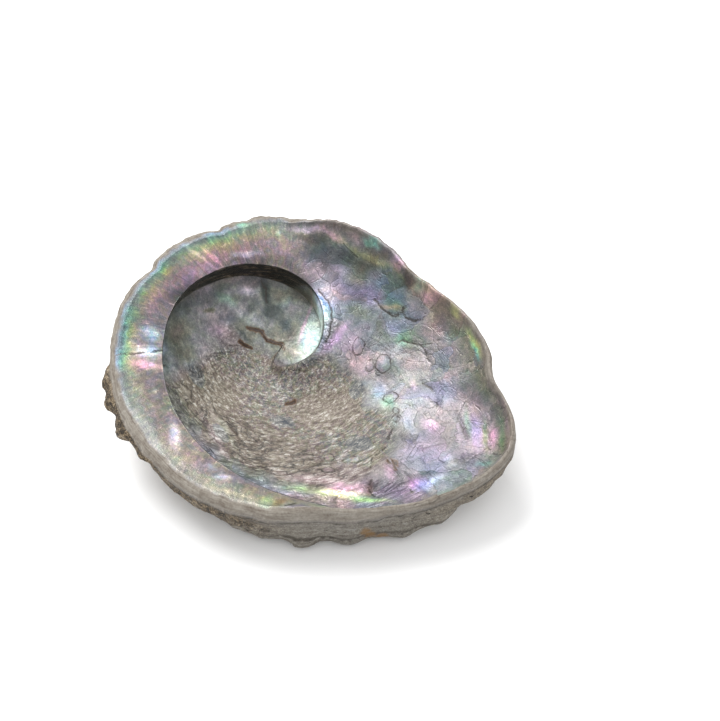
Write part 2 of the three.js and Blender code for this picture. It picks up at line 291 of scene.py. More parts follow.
before = ring <= first_ring
beyond = twice & (ring > second_ring)
walled = before | (twice & ~beyond)
wall_turn = np.where(before, turn_1, turn_1 + 360)
wall_crest = np.where(before, first, second)
width_1 = np.minimum(WALL_WIDTH, WALL_SHARE * first)
width_2 = np.where(twice, np.minimum(WALL_WIDTH, WALL_SHARE * second), 0)
radius = np.where(
    before,
    spaced(0 * first_ring, first_ring, 0 * first, first, width_1),
    np.where(
        beyond,
        spaced(second_ring, INNER_RINGS + 0 * second_ring, second, rim, 0 * rim),
        spaced(first_ring, second_ring, first, second, width_2),
    ),
)
print("inner rings", INNER_RINGS, "columns", COLUMNS)

# %% [markdown]
# The wall under the crest needs its own sideways run, because its outer part is undercut: there
# its foot lies further out than its edge. So each point of the wall has a share of the way down,
# and moves sideways as it drops.

# %% Heights of the inside
width = np.minimum(WALL_WIDTH, WALL_SHARE * wall_crest)
run = along_crest(WALL_RUN, wall_turn)
run = np.where(before, np.minimum(run, 0.5 * wall_crest), run)
run = width + (run - width) * rise(wall_turn)
down = np.where(walled, (wall_crest - radius) / np.maximum(width, 1e-6), 9)
part = np.clip(down, 0, 1)
shift_on_wall = width * part - run * np.sin(part * np.pi / 2)
shift_past_wall = (width - run) * gauss((down - 1) * width / 8)
shift = np.where(down <= 1, shift_on_wall, shift_past_wall)
x = (radius + shift * walled) * cos
y = (radius + shift * walled) * sin
floor = floor_height(x, y)

inner_turn = np.where(beyond, turn_1 + 360, turn_1)
inner_crest = np.where(beyond, second, first)
away = np.maximum(radius - inner_crest, 0)
top = crest_height(inner_turn, inner_crest * cos, inner_crest * sin)
crest_rise = top - floor_height(inner_crest * cos, inner_crest * sin)
flank = floor + crest_rise * gauss(away / along_crest(FLANK_WIDTH, inner_turn))
across = np.clip(away / np.maximum(rim - inner_crest, 1e-3), 0, 1)
ledge = top + (lip_height(angle) - top) * across**1.1 + LEDGE_SWELL * np.sin(np.pi * across)
flat = ease(85, 128, inner_turn) * (1 - ease(CREST_END - 45, CREST_END, inner_turn)) * ~before
z = np.where(before, floor, flank * (1 - flat) + ledge * flat)

wall_top = crest_height(wall_turn, wall_crest * cos, wall_crest * sin)
fillet = 0.28 * np.maximum(wall_top - z, 0) * ease(60, 180, wall_turn) * walled
z = z + fillet * np.exp(-np.maximum(down - 1, 0) * width / 6)
z = np.where(walled & (down < 1), wall_top + (z - wall_top) * part**1.3, z)
on_wall = walled & (down < 1) & (down > 0)
print("bowl is", round(float(-z.min()), 1), "mm deep")

# %% [markdown]
# ## Marks of the inside
# The inside has marks of its own that no formula would put in the right place: veins, cracks,
# blisters, painted highlights on the nacre and painted shade in its hollows. Many were picked out
# in the photo by eye as pixels, and a separate program carried those over to millimetres of the
# shell's plan, which are the numbers listed here. The others were placed between them. The
# strengths were given one by one, the broad ones after comparing average brightness in the photo
# and the render.
# Each mark is only a soft oval or a bent line, and noise frays its edge later.

# %% Lines and blisters
CRACKS = [
    [(-20, 12), (-18, 11), (-15, 8)], [(-34, -57), (-30, -53), (-27, -48), (-25, -43)],
    [(61, 3), (60, -3), (62, -12), (63, -15), (61, -13)], [(65, -29), (63, -25), (65, -17)],
    [(98, 0), (102, -1), (106, -2)], [(60, 13), (64, 12), (67, 11), (71, 7), (70, 5)],
    [(23, 30), (29, 29), (33, 29), (35, 31), (36, 34)], [(35, 33), (38, 31), (42, 31), (45, 33), (45, 35)],
    [(100, -11), (104, -15), (106, -17)], [(69, -33), (70, -37), (74, -39), (77, -39)],
    [(84, -29), (86, -31), (89, -30)], [(80, 6), (84, 5), (89, 0)], [(49, 25), (53, 24), (57, 21)],
    [(18, 5), (15, 13), (9, 18), (3, 20)], [(39, 18), (42, 24), (50, 25), (55, 29)],
    [(56.5, -70), (57, -67), (58, -64)], [(58, -70), (62, -69), (66, -64)],
]
VEINS = [
    [(-15, -4), (-10, -2), (-6, -3), (-1, -1), (1, -2)], [(-14, -11), (-12, -11), (-9, -10)],
    [(69, -22), (72, -22), (74, -24)], [(19, -22), (21, -20), (21, -19)],
]
OUTLINED = [
    (41, 12, 4.0, 3.0, 120, 0.5), (37, 9, 2.3, 1.4, 120, 0.3), (29, 12, 3.6, 2.3, 110, 0.45),
    (52, 2, 2.9, 2.4, 30, 0.6), (58, -2, 1.6, 1.4, 0, 0.4), (60, -5, 1.6, 1.4, 0, 0.4),
    (53, -39, 2.6, 1.5, 30, 0.6), (49, -34, 2.2, 2.0, 0, 0.5), (57, -30, 3.2, 1.6, 40, 0.5),
]  # x, y, half length, half width, direction, height

# %% [markdown]
# A mark gives its place and size, how much lighter or darker it is in stops (one stop doubles
# the light), and the interference colour with its strength. Colour runs from 0 pink over gold,
# green, blue and violet back to pink at 1.

# %% Light, dark and coloured marks
MARKS = [
    # the spire pit: painted shade under the ledge, a crescent of painted light at its inner end
    (-22, 11, 12, 2.2, 44, -0.9, 0.1, 0.0), (-7, 19, 7, 1.8, 1, -0.9, 0.1, 0.0),
    (-33.5, -10, 12, 2.8, 72, -1.2, 0.5, 0.1), (-11, 7, 4, 2.2, 60, -1.2, 0.6, 0.3),
    (-4, 6, 2.6, 1.8, 168, -1.1, 0.6, 0.4), (-17, 10, 4.5, 1.3, 135, -1.8, 0.5, 0.2),
    (9, 8, 12, 5.6, 108, 2.2, 0.58, 0.34), (2, 11, 7, 0.7, 108, 0.3, 0.95, 0.6),
    (4, -4, 3, 1.5, 179, 0.3, 0.3, 0.1), (-27, -3, 4, 1.6, 25, 0.7, 0.42, 0.3),
    (-22.5, 5.5, 4, 1.1, 40, 1.1, 0.8, 0.1), (-29, 4, 5, 0.9, 55, 1.0, 0.95, 0.3),
    (-20, -14, 5, 3, 30, -0.3, 0.9, 0.25), (-18, 3, 2.6, 1.5, 80, -0.8, 0.5, 0.1),
    (-10, 12.5, 3, 1.6, 40, 0.8, 0.58, 0.2), (-17, -1, 3.6, 1.6, 20, 0.7, 0.5, 0.05),
    (-29, -11, 2.2, 0.6, 60, -1.5, 0.25, 0.5), (-23, -7, 3, 2, 90, -0.6, 0.6, 0.2),
    (-36, -22, 6, 2, 85, -0.7, 0.5, 0.1), (-14, -8, 2.2, 1.2, 0, -1.0, 0.6, 0.2),
    # painted highlights, white and lilac, on the ledge, and the bright streaks along the crest
    (-32, -41, 3.6, 2.9, 43, 1.9, 0.58, 0.25), (-27, -48, 5.0, 2.2, 56, 1.9, 0.56, 0.25),
    (-24, -53, 5, 1.5, 43, 1.3, 0.97, 0.6), (4, -69, 6, 1.9, 136, 1.7, 0.62, 0.25),
    (30, -72, 3.4, 1.3, 45, 1.5, 0.62, 0.2), (23, -71, 2, 1.3, 13, 0.8, 0.58, 0.3),
    (-38, -2, 5, 0.7, 13, 1.0, 0.95, 0.2), (-37, 1, 5, 0.6, 13, 0.9, 0.05, 0.4),
    (-36, -9, 9, 2.0, 75, 0.55, 0.93, 0.3), (-27, 11, 5, 0.8, 47, 1.0, 0.62, 0.4),
    (-21, 25, 1.2, 0.9, 4, 1.0, 0.5, 0.4), (-13, 33, 7, 0.9, 32, 1.1, 0.88, 0.4),
    (-3, 38, 4, 0.8, 17, 0.9, 0.02, 0.5), (12, 40, 10, 0.9, 4, 0.8, 0.22, 0.45),
    (12, 43, 4, 0.7, 4, 0.9, 0.46, 0.7), (26, 42, 3, 1.0, 3, 0.9, 0.97, 0.4),
    (-37, 17, 6, 1.6, 30, 0.7, 0.34, 0.8), (-42, 8, 3, 1.4, 40, 0.1, 0.55, 0.7),
    # painted shade in the valley behind the pit
    (-10, 32, 6, 1.5, 34, -1.5, 0.05, 0.1), (-2, 32, 9, 3.2, 34, -1.7, 0.5, 0.25),
    (11, 37, 8, 3.2, 6, -1.4, 0.05, 0.05), (0, 28, 2.2, 1.8, 168, -0.7, 0.1, 0.1),
    (28, 36, 6.5, 3.8, 168, -0.75, 0.52, 0.4), (19, 30, 6, 3.4, 4, -0.75, 0.82, 0.4),
    (31, 31, 5, 0.8, 20, 0.3, 0.1, 0.6), (12, 27, 6, 2.5, 0, -0.5, 0.7, 0.2),
    (7, 17, 3.2, 0.7, 159, -1.1, 0.6, 0.6),
    # the bowl between the pit and the front
    (20, 10, 7, 1.6, 87, 0.9, 0.9, 0.55), (36, 26, 4.5, 3.0, 179, 0.5, 0.76, 0.35),
    (42, 25, 3, 3, 0, 0.35, 0.42, 0.45), (53, -1, 3.4, 2.4, 145, 1.0, 0.43, 0.85),
    (60, -7, 2, 1.2, 144, 1.1, 0.52, 0.7), (46, 3, 3, 2.5, 120, 0.3, 0.62, 0.4),
    (80, -13, 12, 7.4, 173, 0.55, 0.74, 0.35), (73, -1, 3.2, 2.0, 169, 1.1, 0.95, 0.4),
    (57, 11, 2, 1.5, 156, 1.0, 0.95, 0.4), (66, -5, 5, 2.2, 140, 0.6, 0.62, 0.2),
    (90, -21, 3.4, 1.4, 74, 1.35, 0.7, 0.1), (89, -11, 3, 1.4, 162, 1.3, 0.7, 0.1),
    (72, -26, 4, 1.8, 140, 0.6, 0.96, 0.5), (78, -3, 4, 3.6, 17, -0.45, 0.8, 0.2),
    (86, -17, 4, 2.6, 60, -0.35, 0.62, 0.3), (84, -20, 1.8, 0.8, 170, -1.3, 0.42, 0.7),
    (62, 6, 5, 3, 30, 0.25, 0.6, 0.2), (70, 14, 6, 4, 10, 0.0, 0.66, 0.25),
    # the two sealed pores and the colours beside them
    (73, -34, 3.4, 3.0, 48, -1.1, 0.78, 0.15), (71, -37, 3, 0.8, 120, -0.9, 0.12, 0.5),
    (75, -42, 7, 1.3, 27, 1.1, 0.3, 0.9), (87, -26, 3.6, 3.2, 21, 0.95, 0.7, 0.6),
    (84, -27, 1.6, 2.4, 21, 0.3, 0.95, 0.6), (86, -31, 2.6, 0.6, 60, -1.3, 0.5, 0.2),
    (54, -44, 9, 1.8, 35, 0.8, 0.98, 0.5), (59, -48, 9, 1.4, 27, 0.45, 0.3, 0.35),
    (80, -33, 4, 3, 30, -0.4, 0.85, 0.2),
    # towards the front: stripes along the lip, the smooth beak
    (57, 37, 3, 0.7, 168, 1.2, 0.3, 0.7), (71, 31, 6, 0.8, 154, 1.1, 0.3, 0.7),
    (73, 29, 4, 0.5, 154, 0.9, 0.52, 0.7), (38, 39, 2, 1.3, 180, 0.9, 0.5, 0.4),
    (44, 38, 3, 1.0, 2, 0.9, 0.98, 0.3), (33.5, 40, 2, 1.6, 175, -1.1, 0.1, 0.1),
    (91, 4, 7, 1.7, 132, 0.1, 0.76, 0.45), (98, 5, 5, 1.5, 127, 0.6, 0.97, 0.5),
    (86, 6, 6, 0.9, 132, -0.2, 0.42, 0.6), (95, 4, 6, 0.7, 128, -0.1, 0.38, 0.6),
    (101, 6, 6, 0.8, 125, -0.1, 0.4, 0.5), (102, -7, 3, 1, 10, 0.2, 0.48, 0.6),
    (105, 3, 4, 3, 120, -0.2, 0.28, 0.25), (107, -1, 2.6, 0.8, 161, -1.0, 0.1, 0.2),
    (95, -7, 5, 3.0, 3, -0.5, 0.8, 0.1),
    # blue-grey places in the scar
    (-16, -36, 4.5, 2.0, 150, -0.6, 0.6, 0.5), (-19, -40, 10, 1.8, 139, -0.6, 0.2, 0.1),
    (23, -30, 3, 1.2, 20, -0.6, 0.62, 0.4), (39, 1, 2.4, 1.3, 60, -0.6, 0.6, 0.4),
    (39, -4, 1.4, 1.6, 60, -0.5, 0.6, 0.3), (55, -22, 3.2, 2, 30, -0.7, 0.6, 0.4),
    (10, -54.5, 8, 0.7, 155, 1.4, 0.95, 0.5), (9, -51, 4, 1.7, 155, 1.1, 0.6, 0.2),
    (11, -49, 7, 0.8, 155, 0.8, 0.3, 0.1), (13, -47, 7, 0.8, 155, -0.9, 0.1, 0.1),
    (6, -56, 5, 0.6, 150, -0.9, 0.1, 0.1),
    # brown spot and purple patch on the low ledge
    (53, -68, 2.4, 1.5, 90, -0.9, 0.13, 0.95), (62, -66.5, 5, 3.0, 45, -0.45, 0.78, 0.8),
    (48, -70, 3, 0.8, 20, 0.3, 0.3, 0.3), (37, -76, 9, 0.8, 20, 0.5, 0.15, 0.15),
    (66, -62, 7, 2.5, 45, 0.0, 0.3, 0.4),
    # broad light and shade
    (58, -48.5, 15, 2.0, 27, 1.2, 0.32, 0.55), (50, -46, 10, 1.2, 25, 0.5, 0.98, 0.5),
    (30, -46, 22, 9, 5, 0.45, 0.1, 0.05), (-10, -42, 12, 12, 120, 0.5, 0.1, 0.05),
    (78, -12, 13, 11, 60, -1.1, 0.25, 0.12), (99, 0, 9, 5, 120, 0.0, 0.2, 0.2),
    (40, 21, 11, 9, 20, -0.35, 0.3, 0.05), (81, 23, 16, 6, 142, -0.4, 0.2, 0.1),
    (62, -38, 9, 4, 30, 0.35, 0.97, 0.2), (-12, -62, 13, 9, 130, -0.45, 0.5, 0.12),
    (-34, -46, 10, 8, 45, 0.05, 0.62, 0.28), (33, -69, 10, 4, 20, 0.0, 0.6, 0.2),
    (-38, -42, 11, 7, 45, -0.55, 0.4, 0.15), (64, -42, 8, 3, 30, 0.75, 0.97, 0.5),
    (-7, -38, 7, 5, 150, -0.25, 0.2, 0.05), (5, -8, 12, 3.5, 0, -0.3, 0.1, 0.05),
    (35, -15, 12, 7, 40, 0.15, 0.1, 0.05),
]


SOFT_EDGE = 1.15  # a mark's soft oval is this many times the size listed
LINE_REACH = 6.0  # distances to cracks, veins and outlines are cut off here, in mm


def radii_away(x, y, middle_x, middle_y, long, wide, way):
    """How many of an oval's own radii a point lies from its middle."""
    c, s = np.cos(np.radians(way)), np.sin(np.radians(way))
    u = (x - middle_x) * c + (y - middle_y) * s
    v = (y - middle_y) * c - (x - middle_x) * s
    return np.hypot(u / long, v / wide)


def ovals(x, y, marks):
    """Light in stops and colour as a direction: each mark is e^-(d^3), d its radii away."""
    stops, east, north = (np.zeros(np.shape(x)) for _ in range(3))
    for mx, my, long, wide, way, light, hue, strength in marks:
        oval = np.exp(-(radii_away(x, y, mx, my, SOFT_EDGE * long, SOFT_EDGE * wide, way) ** 3))
        stops = stops + light * oval
        east = east + strength * oval * np.cos(2 * np.pi * hue)
        north = north + strength * oval * np.sin(2 * np.pi * hue)
    return stops, east, north


def line_distance(x, y, lines):
    """Distance in mm to the nearest of some bent lines."""
    nearest = np.full(np.shape(x), LINE_REACH)
    for line in lines:
        for (x1, y1), (x2, y2) in zip(line, line[1:]):
            length = (x2 - x1) ** 2 + (y2 - y1) ** 2
            t = np.clip(((x - x1) * (x2 - x1) + (y - y1) * (y2 - y1)) / length, 0, 1)
            nearest = np.minimum(nearest, np.hypot(x - x1 - t * (x2 - x1), y - y1 - t * (y2 - y1)))
    return nearest


def domes(x, y, ovals_outlined):
    """Height of outlined blisters, and how far a point is inside one's outline in mm."""
    tall = np.zeros(np.shape(x))
    inside = np.full(np.shape(x), -LINE_REACH)
    for mx, my, long, wide, way, height in ovals_outlined:
        d = radii_away(x, y, mx, my, long, wide, way)
        tall = np.maximum(tall, height * np.sqrt(np.clip(1 - d**2, 0, 1)))
        inside = np.maximum(inside, (1 - d) * wide)
    return tall, inside


# %% [markdown]
# ## Zones of the inside
# There are four kinds of surface inside: the smooth pearly ledge, the rough muscle scar
# where the animal held on, the dark spire pit, and the pearly bowl with overlapping plates.
# Each is a soft mask from 0 to 1, used first for relief and later for colour.

# %% Masks of the zones
SCAR_X, SCAR_Y, SCAR_LONG, SCAR_SHORT, SCAR_TURN = 22, -29, 50, 31, 8
wobble = fractal(x, y, 0, 9, 11)
wobble_2 = fractal(x, y, 5, 4, 12, 3)
fx = x + 0.9 * wobble_2 + 0.35 * fractal(x, y, 6, 1.6, 14, 2)
fy = y + 0.9 * fractal(x, y, 9, 4, 13, 3) + 0.35 * fractal(x, y, 7, 1.6, 15, 2)
su, sv = np.cos(np.radians(SCAR_TURN)), np.sin(np.radians(SCAR_TURN))
scar_u = ((x - SCAR_X) * su + (y - SCAR_Y) * sv) / SCAR_LONG
scar_v = ((y - SCAR_Y) * su - (x - SCAR_X) * sv) / SCAR_SHORT
scar_at = np.hypot(scar_u, scar_v)
out = lip(angle) - radius
pit_side = np.maximum(y + 8, -20 - x) + 3 * wobble
pit = ease(-4, 3, pit_side) * before
scar = (1 - ease(0.86, 1.06, scar_at + 0.14 * wobble)) * (1 - flat) * (1 - pit)
scar = np.maximum(scar, before * (1 - pit) * 0.9)
bowl_zone = (1 - flat) * (1 - scar) * (1 - pit)

# %% [markdown]
# ## Fine relief of the inside
# Ripples and beads of the scar, outlined blisters, slight waves of the bowl and faint radial
# streaks on the ledge. They are heights added to the grid, so that they catch the light and
# are part of the mesh itself.

# %% Relief of the inside
def bells(x, y):
    """The large blisters and dimples of the CAD solid, as bells."""
    total = 0
    for around, far, tall, size in BLISTERS:
        bx, by = polar(around, far)
        total = total + tall * gauss(np.hypot(x - bx, y - by) / size)
    return total


warp = 2.2 * fractal(x, y, 3, 14, 21)
ripple = 0.10 * np.sin((np.hypot(x, y) + warp) * 2 * np.pi / 2.4) + 0.30 * fractal(x, y, 1, 3.0, 22)
low_margin = np.maximum(ease(0.05, 0.5, -scar_v + 0.15 * wobble), ease(-0.4, -0.8, scar_u))
low_margin = low_margin * (1 - flat) * (1 - pit) * walled
coil_side = np.where(~before & (turn_1 < 40), radius - first, 9.0)
beads = fractal(13 * np.radians(turn_1) + 0 * x, np.hypot(x, y) / 2.6, 4, 1.6, 31, 2)
bead_height = 1.3 * np.clip(beads + 0.1, 0, 0.6) * low_margin
dome_height, bead = domes(fx, fy, OUTLINED)
cracks, veins = line_distance(fx, fy, CRACKS), line_distance(fx, fy, VEINS)
groove = -0.35 * gauss(cracks / 0.8) - 0.3 * gauss(veins / 1.0)
streak = 0.12 * noise(60 * cos + 0 * x, 60 * sin + 0 * x, out / 6, 2.6, 51) * flat
swell = 0.9 * fractal(x, y, 7, 14, 61, 5) * bowl_zone + 0.45 * fractal(x, y, 8, 9, 62, 5) * flat
swell = swell + 0.7 * fractal(x, y, 9, 7, 63, 4) * pit
keep = np.where(on_wall, 0.15, 1.0) * ease(0.0, 2.5, out - (lip(angle) - rim))
relief = (scar * ripple + np.maximum(bead_height, dome_height) + groove + streak + swell) * keep
relief = relief + bells(x, y) * (1 - part * on_wall) * ease(0.0, 1.0, out - (lip(angle) - rim))
relief[0] = relief[0].mean()
z = z + relief
print("relief from", round(float(relief.min()), 2), "to", round(float(relief.max()), 2), "mm")


# %% [markdown]
# ## The outside
# Seen from below the shell is a low dome with growth ridges parallel to the lip, a spiral hump
# over the spire, a row of sealed breathing pores near the steep side, and crusts of other
# animals. Each is a height pushed out along the surface's own outward direction.

# %% Surface of the outside
BORE_CELL, BORED_SHARE = 8, 0.45  # one bore hole to a cell of so many mm, in that share of them
HOLE_REACH = 9.0  # distances to holes and stains are cut off here, in mm


def side_lumps(angle, under):
    """How far the crusts under the lip stand out, at a depth below the lip's lower edge."""
    total = 0
    for around, drop, tall, size in SIDE_LUMPS:
        along = np.radians(apart(angle, around)) * lip(around)
        total = total + tall * gauss(along / size) * gauss((under - drop) / size)
    return total * ease(0, 2.5, under)


def outer_base(angle, share):
    """The outside without relief, at an angle and a share of the way from spire to lip."""
    x, y = polar(angle, lip(angle) * share)
    deep = deep_at(x, y) + SHELL_THICKNESS - LIP_DROP
    z = lip_height(angle) * share**6 - LIP_DROP - bowl(share, angle, deep, OUTER_WALL)
    x, y = polar(angle, lip(angle) * share + side_lumps(angle, lip_height(angle) - LIP_DROP - z))
    return np.stack([x, y, z], -1)


def outwards(angle, share):
    """Unit direction out of the surface: across its slopes round and along the shell."""
    around = outer_base(angle + 1, share) - outer_base(angle - 1, share)
    along = outer_base(angle, share) - outer_base(angle, share - 0.01)
    across = -np.cross(around, along)
    return across / np.linalg.norm(across, axis=-1, keepdims=True)


def from_spot(at, around, far):
    """Distance in mm from the spot of the outside at that angle and share of the way out."""
    return np.linalg.norm(at - outer_base(np.array(float(around)), far), axis=-1)


def coarse_relief(angle, share, at):
    """Growth ridges, folds, the spire's coil, pores and crusts, as the CAD solid has them."""
    t = np.radians(angle)
    height = 0.9 * np.sin(2 * np.pi * (5.5 * share + 0.3 * np.sin(3 * t + 1) + 0.12 * np.sin(8 * t + 2)))
    height = height * ease(0.12, 0.35, share) * (1 - ease(0.86, 0.97, share))
    height = height + 0.5 * np.sin(9 * t + 4 * share) * ease(0.3, 0.6, share) * (1 - ease(0.9, 1, share))
    coil = 1.2 * np.cos(t - 5.5 * np.log(share + 0.04)) * (1 - ease(0.2, 0.42, share))
    height = height + coil * ease(0, 0.06, share)
    for around, far, tall, size in PORES + CRUSTS:
        height = height + tall * gauss(from_spot(at, around, far) / size)
    return height


def bore_holes(angle, share):
    """Distance in mm to the nearest of many bore holes strewn over the outside, laid out flat."""
    far = 45 * np.arcsin(np.minimum(share, 1) ** 1.25)
    t = np.radians(angle)
    near, _, number = cells(far * np.cos(t), far * np.sin(t), BORE_CELL, 75)
    return np.where(number > 1 - BORED_SHARE, near * BORE_CELL, HOLE_REACH)


def fine_relief(angle, share, at, smooth):
    """Crust: lumps, folds drawn out along the growth lines, roughness, and pits in the pores."""
    ax, ay, az = at[..., 0], at[..., 1], at[..., 2]
    c, s = 38 * np.cos(np.radians(angle)), 38 * np.sin(np.radians(angle))
    grown = 48 * share + 0.9 * az + 1.5 * fractal(ax, ay, az, 9, 72)
    folds = 0.55 - 2.0 * np.abs(fractal(c, s, grown, 9, 71, 3))
    ledges = (grown / 4.2 + 0.8 * fractal(ax, ay, az, 14, 84)) % 1
    lumps = 1.5 * fractal(ax, ay, az, 11, 73, 3)
    rough = 0.9 * fractal(ax, ay, az, 3.2, 74, 4)
    height = (1.3 * folds + 0.8 * (ledges**3 - 0.25) + lumps + rough) * (1 - 0.88 * smooth)
    for around, far, tall, size in PORES:
        pit_width = 0.33 * size
        height = height - (0.8 * tall + 0.6) * gauss(from_spot(at, around, far) / pit_width) ** 2
    return height


def below_lip(angle, under, places):
    """Distance in mm to the nearest of some places, given as angle and depth under the lip."""
    nearest = np.full(np.shape(angle), HOLE_REACH)
    for around, drop in places:
        along = np.radians(apart(angle, around)) * lip(around)
        nearest = np.minimum(nearest, np.hypot(along, under - drop))
    return nearest


HOLES = [
    (260, 4.5), (329.5, 4.5), (330.8, 6.5), (332, 4), (333, 6.2), (334.3, 8), (335, 4.4), (336.3, 6.4),
    (337.5, 4.6), (339, 6.8), (340.5, 5), (300, 15), (311, 20), (318, 9), (345, 9), (348.5, 6),
]
STAINS = [(326.5, 12), (327.5, 16), (330, 18)]


outer_share = np.sin((1 - np.arange(OUTER_RINGS)[:, None] / OUTER_RINGS) * np.pi / 2) ** 0.8
outer_share = np.broadcast_to(outer_share, (OUTER_RINGS, COLUMNS))
outer_angle = np.broadcast_to(angle, outer_share.shape)
outer_at = outer_base(outer_angle, outer_share)
worn = ease(FOOT_INNER, FOOT_OUTER, np.hypot(outer_at[..., 0] - FOOT_X, outer_at[..., 1] - FOOT_Y))
under = lip_height(outer_angle) - LIP_DROP - outer_at[..., 2]
outer_xyz = np.moveaxis(outer_at, -1, 0)
smooth_down_to = under + 2 * fractal(*outer_xyz, 8, 76)
smooth = gauss(apart(outer_angle, 322) / 42) ** 0.5 * (1 - ease(21, 28, smooth_down_to))
hole = below_lip(outer_angle + 0.5 * noise(*outer_xyz, 2, 77), under, HOLES)
bore = bore_holes(outer_angle, outer_share) + HOLE_REACH * smooth
orange = below_lip(outer_angle, under + 1.2 * noise(*outer_xyz, 3, 78), STAINS)
fine = fine_relief(outer_angle, outer_share, outer_at, smooth) * ease(0.03, 0.15, outer_share)
fine = fine - 1.1 * gauss(hole / 0.9) - 1.3 * gauss(bore / 0.9)
fine = fine + 0.9 * fractal(*outer_xyz, 4, 79) * gauss((hole - 1.5) / 2.5)
growth_waves = 0.35 * np.sin(under * 2.2 + 2 * fractal(*outer_xyz, 14, 83))
fine = fine + smooth * (growth_waves - 0.9 * gauss((under - 2.2) / 0.8))
coarse = coarse_relief(outer_angle, outer_share, outer_at)
height = coarse * (1 - ease(0.985, 1, outer_share)) + fine * ease(0.6, 3.0, under)
height = height * worn
outer = outer_at + outwards(outer_angle, np.minimum(outer_share, 0.999)) * height[..., None]
print("outside relief from", round(float(height.min()), 2), "to", round(float(height.max()), 2), "mm")

# %% [markdown]
# ## Closing the shell
# A few rings carry the inside over the rounded lip to the outside. Then the chips are pulled in,
# the shell leans as it rests, and its lowest part is flattened where it has worn on the ground.

# %% Lip, chips and lean
over = (np.arange(1, CROWN_RINGS)[:, None]) / CROWN_RINGS
crown_radius = (rim + lip(angle)) / 2 - (lip(angle) - rim) / 2 * np.cos(np.pi * over)
crown_part = (crown_radius - rim) / (lip(angle) - rim)
crown_height = z[-1] + (lip_height(angle) - LIP_DROP - z[-1]) * crown_part**4
crown_height = crown_height + 0.15 * np.sin(np.pi * crown_part)
crown = np.stack([crown_radius * cos, crown_radius * sin, crown_height], -1)
rings = np.concatenate([np.stack([x, y, z], -1)[1:], crown, outer])

chip = sum(deep * gauss(apart(angle, at) / half) for at, deep, half in CHIPS)
ragged = 0.7 * fractal(60 * cos, 60 * sin, 0, 7, 81) + 0.35 * fractal(60 * cos, 60 * sin, 0, 2.2, 82, 2)
reach = np.hypot(rings[..., 0], rings[..., 1]) / lip(angle)
rings[..., :2] *= (1 - (chip + ragged) / lip(angle) * ease(0.72, 1, reach))[..., None]


def place(points):
    """Leans points about the level line at LEAN_AXIS, then stands them on the foot, in metres."""
    axis = np.array([np.cos(np.radians(LEAN_AXIS)), np.sin(np.radians(LEAN_AXIS)), 0])
    c, s = np.cos(np.radians(LEAN)), np.sin(np.radians(LEAN))
    leant = points * c + np.cross(axis, points) * s + (points @ axis)[..., None] * axis * (1 - c)
    leant = leant - np.array([BOX_CENTRE_X, BOX_CENTRE_Y, FOOT_LEVEL])
    leant[..., 2] = np.maximum(leant[..., 2], 0)
    return leant * MM


ends = np.array([[0, 0, z[0].mean()], outer_base(np.array(0.0), 0.0)])
points = np.concatenate([place(ends[:1]), place(rings).reshape(-1, 3), place(ends[1:])])
print("points", len(points))

# %% Faces of the grid
last = len(points) - 1
grid = 1 + np.arange(len(rings) * COLUMNS).reshape(len(rings), COLUMNS)
after = (column + 1) % COLUMNS
steps = (first_ring[after] != first_ring) & (after != 0)
a, b, c, d = grid[:-1], grid[1:], grid[1:][:, after], grid[:-1][:, after]
split = np.broadcast_to(steps, a.shape)[..., None]
half_1 = np.where(split, np.stack([a, b, c], -1), np.stack([a, b, d], -1))
half_2 = np.where(split, np.stack([a, c, d], -1), np.stack([b, c, d], -1))
cap_1 = np.stack([np.zeros(COLUMNS, int), grid[0], grid[0][after]], -1)
cap_2 = np.stack([np.full(COLUMNS, last), grid[-1][after], grid[-1]], -1)
faces = np.concatenate([cap_1, half_1.reshape(-1, 3), half_2.reshape(-1, 3), cap_2])
print("triangles", len(faces))

# %% [markdown]
# ## Painting by formula
# Nacre shows colour by interference: thin layers of slightly different thickness turn pink,
# green or blue. So the paint is not a picture but a few soft fields over the shell: the
# direction of the interference colour on its wheel, how strong it is, how light the spot is in
# stops, and masks and distances for scar, cracks, veins, blisters, lip and crust.

# %% Colour of the inside as a direction on the wheel
def wheel(hue, strength):
    """A colour of the wheel as two parts, east and north, so that 0 and 1 join without a seam."""
    return strength * np.cos(2 * np.pi * hue), strength * np.sin(2 * np.pi * hue)


crown_count = CROWN_RINGS - 1


def with_lip(field, at_lip=None):
    """A field of the inside carried on over the lip with its last value, or with the one given."""
    more = np.broadcast_to(field[-1:] if at_lip is None else at_lip, (crown_count, COLUMNS))
    return np.concatenate([np.broadcast_to(field, (INNER_RINGS + 1, COLUMNS)), more])


def whole(inner, outside=0.0):
    """The field of the inside and lip and the field or value of the outside as one."""
    return np.concatenate([inner[1:], np.broadcast_to(np.asarray(outside, float), (OUTER_RINGS, COLUMNS))])


lip_x, lip_y = crown_radius * cos, crown_radius * sin
px, py, pz = with_lip(x, lip_x), with_lip(y, lip_y), with_lip(z, crown_height)
from_lip = with_lip(out, lip(angle) - crown_radius)
m_flat, m_pit, m_scar, m_bowl = with_lip(flat), with_lip(pit), with_lip(scar), with_lip(bowl_zone)
m_wall = with_lip(on_wall * 1.0, 0.0)
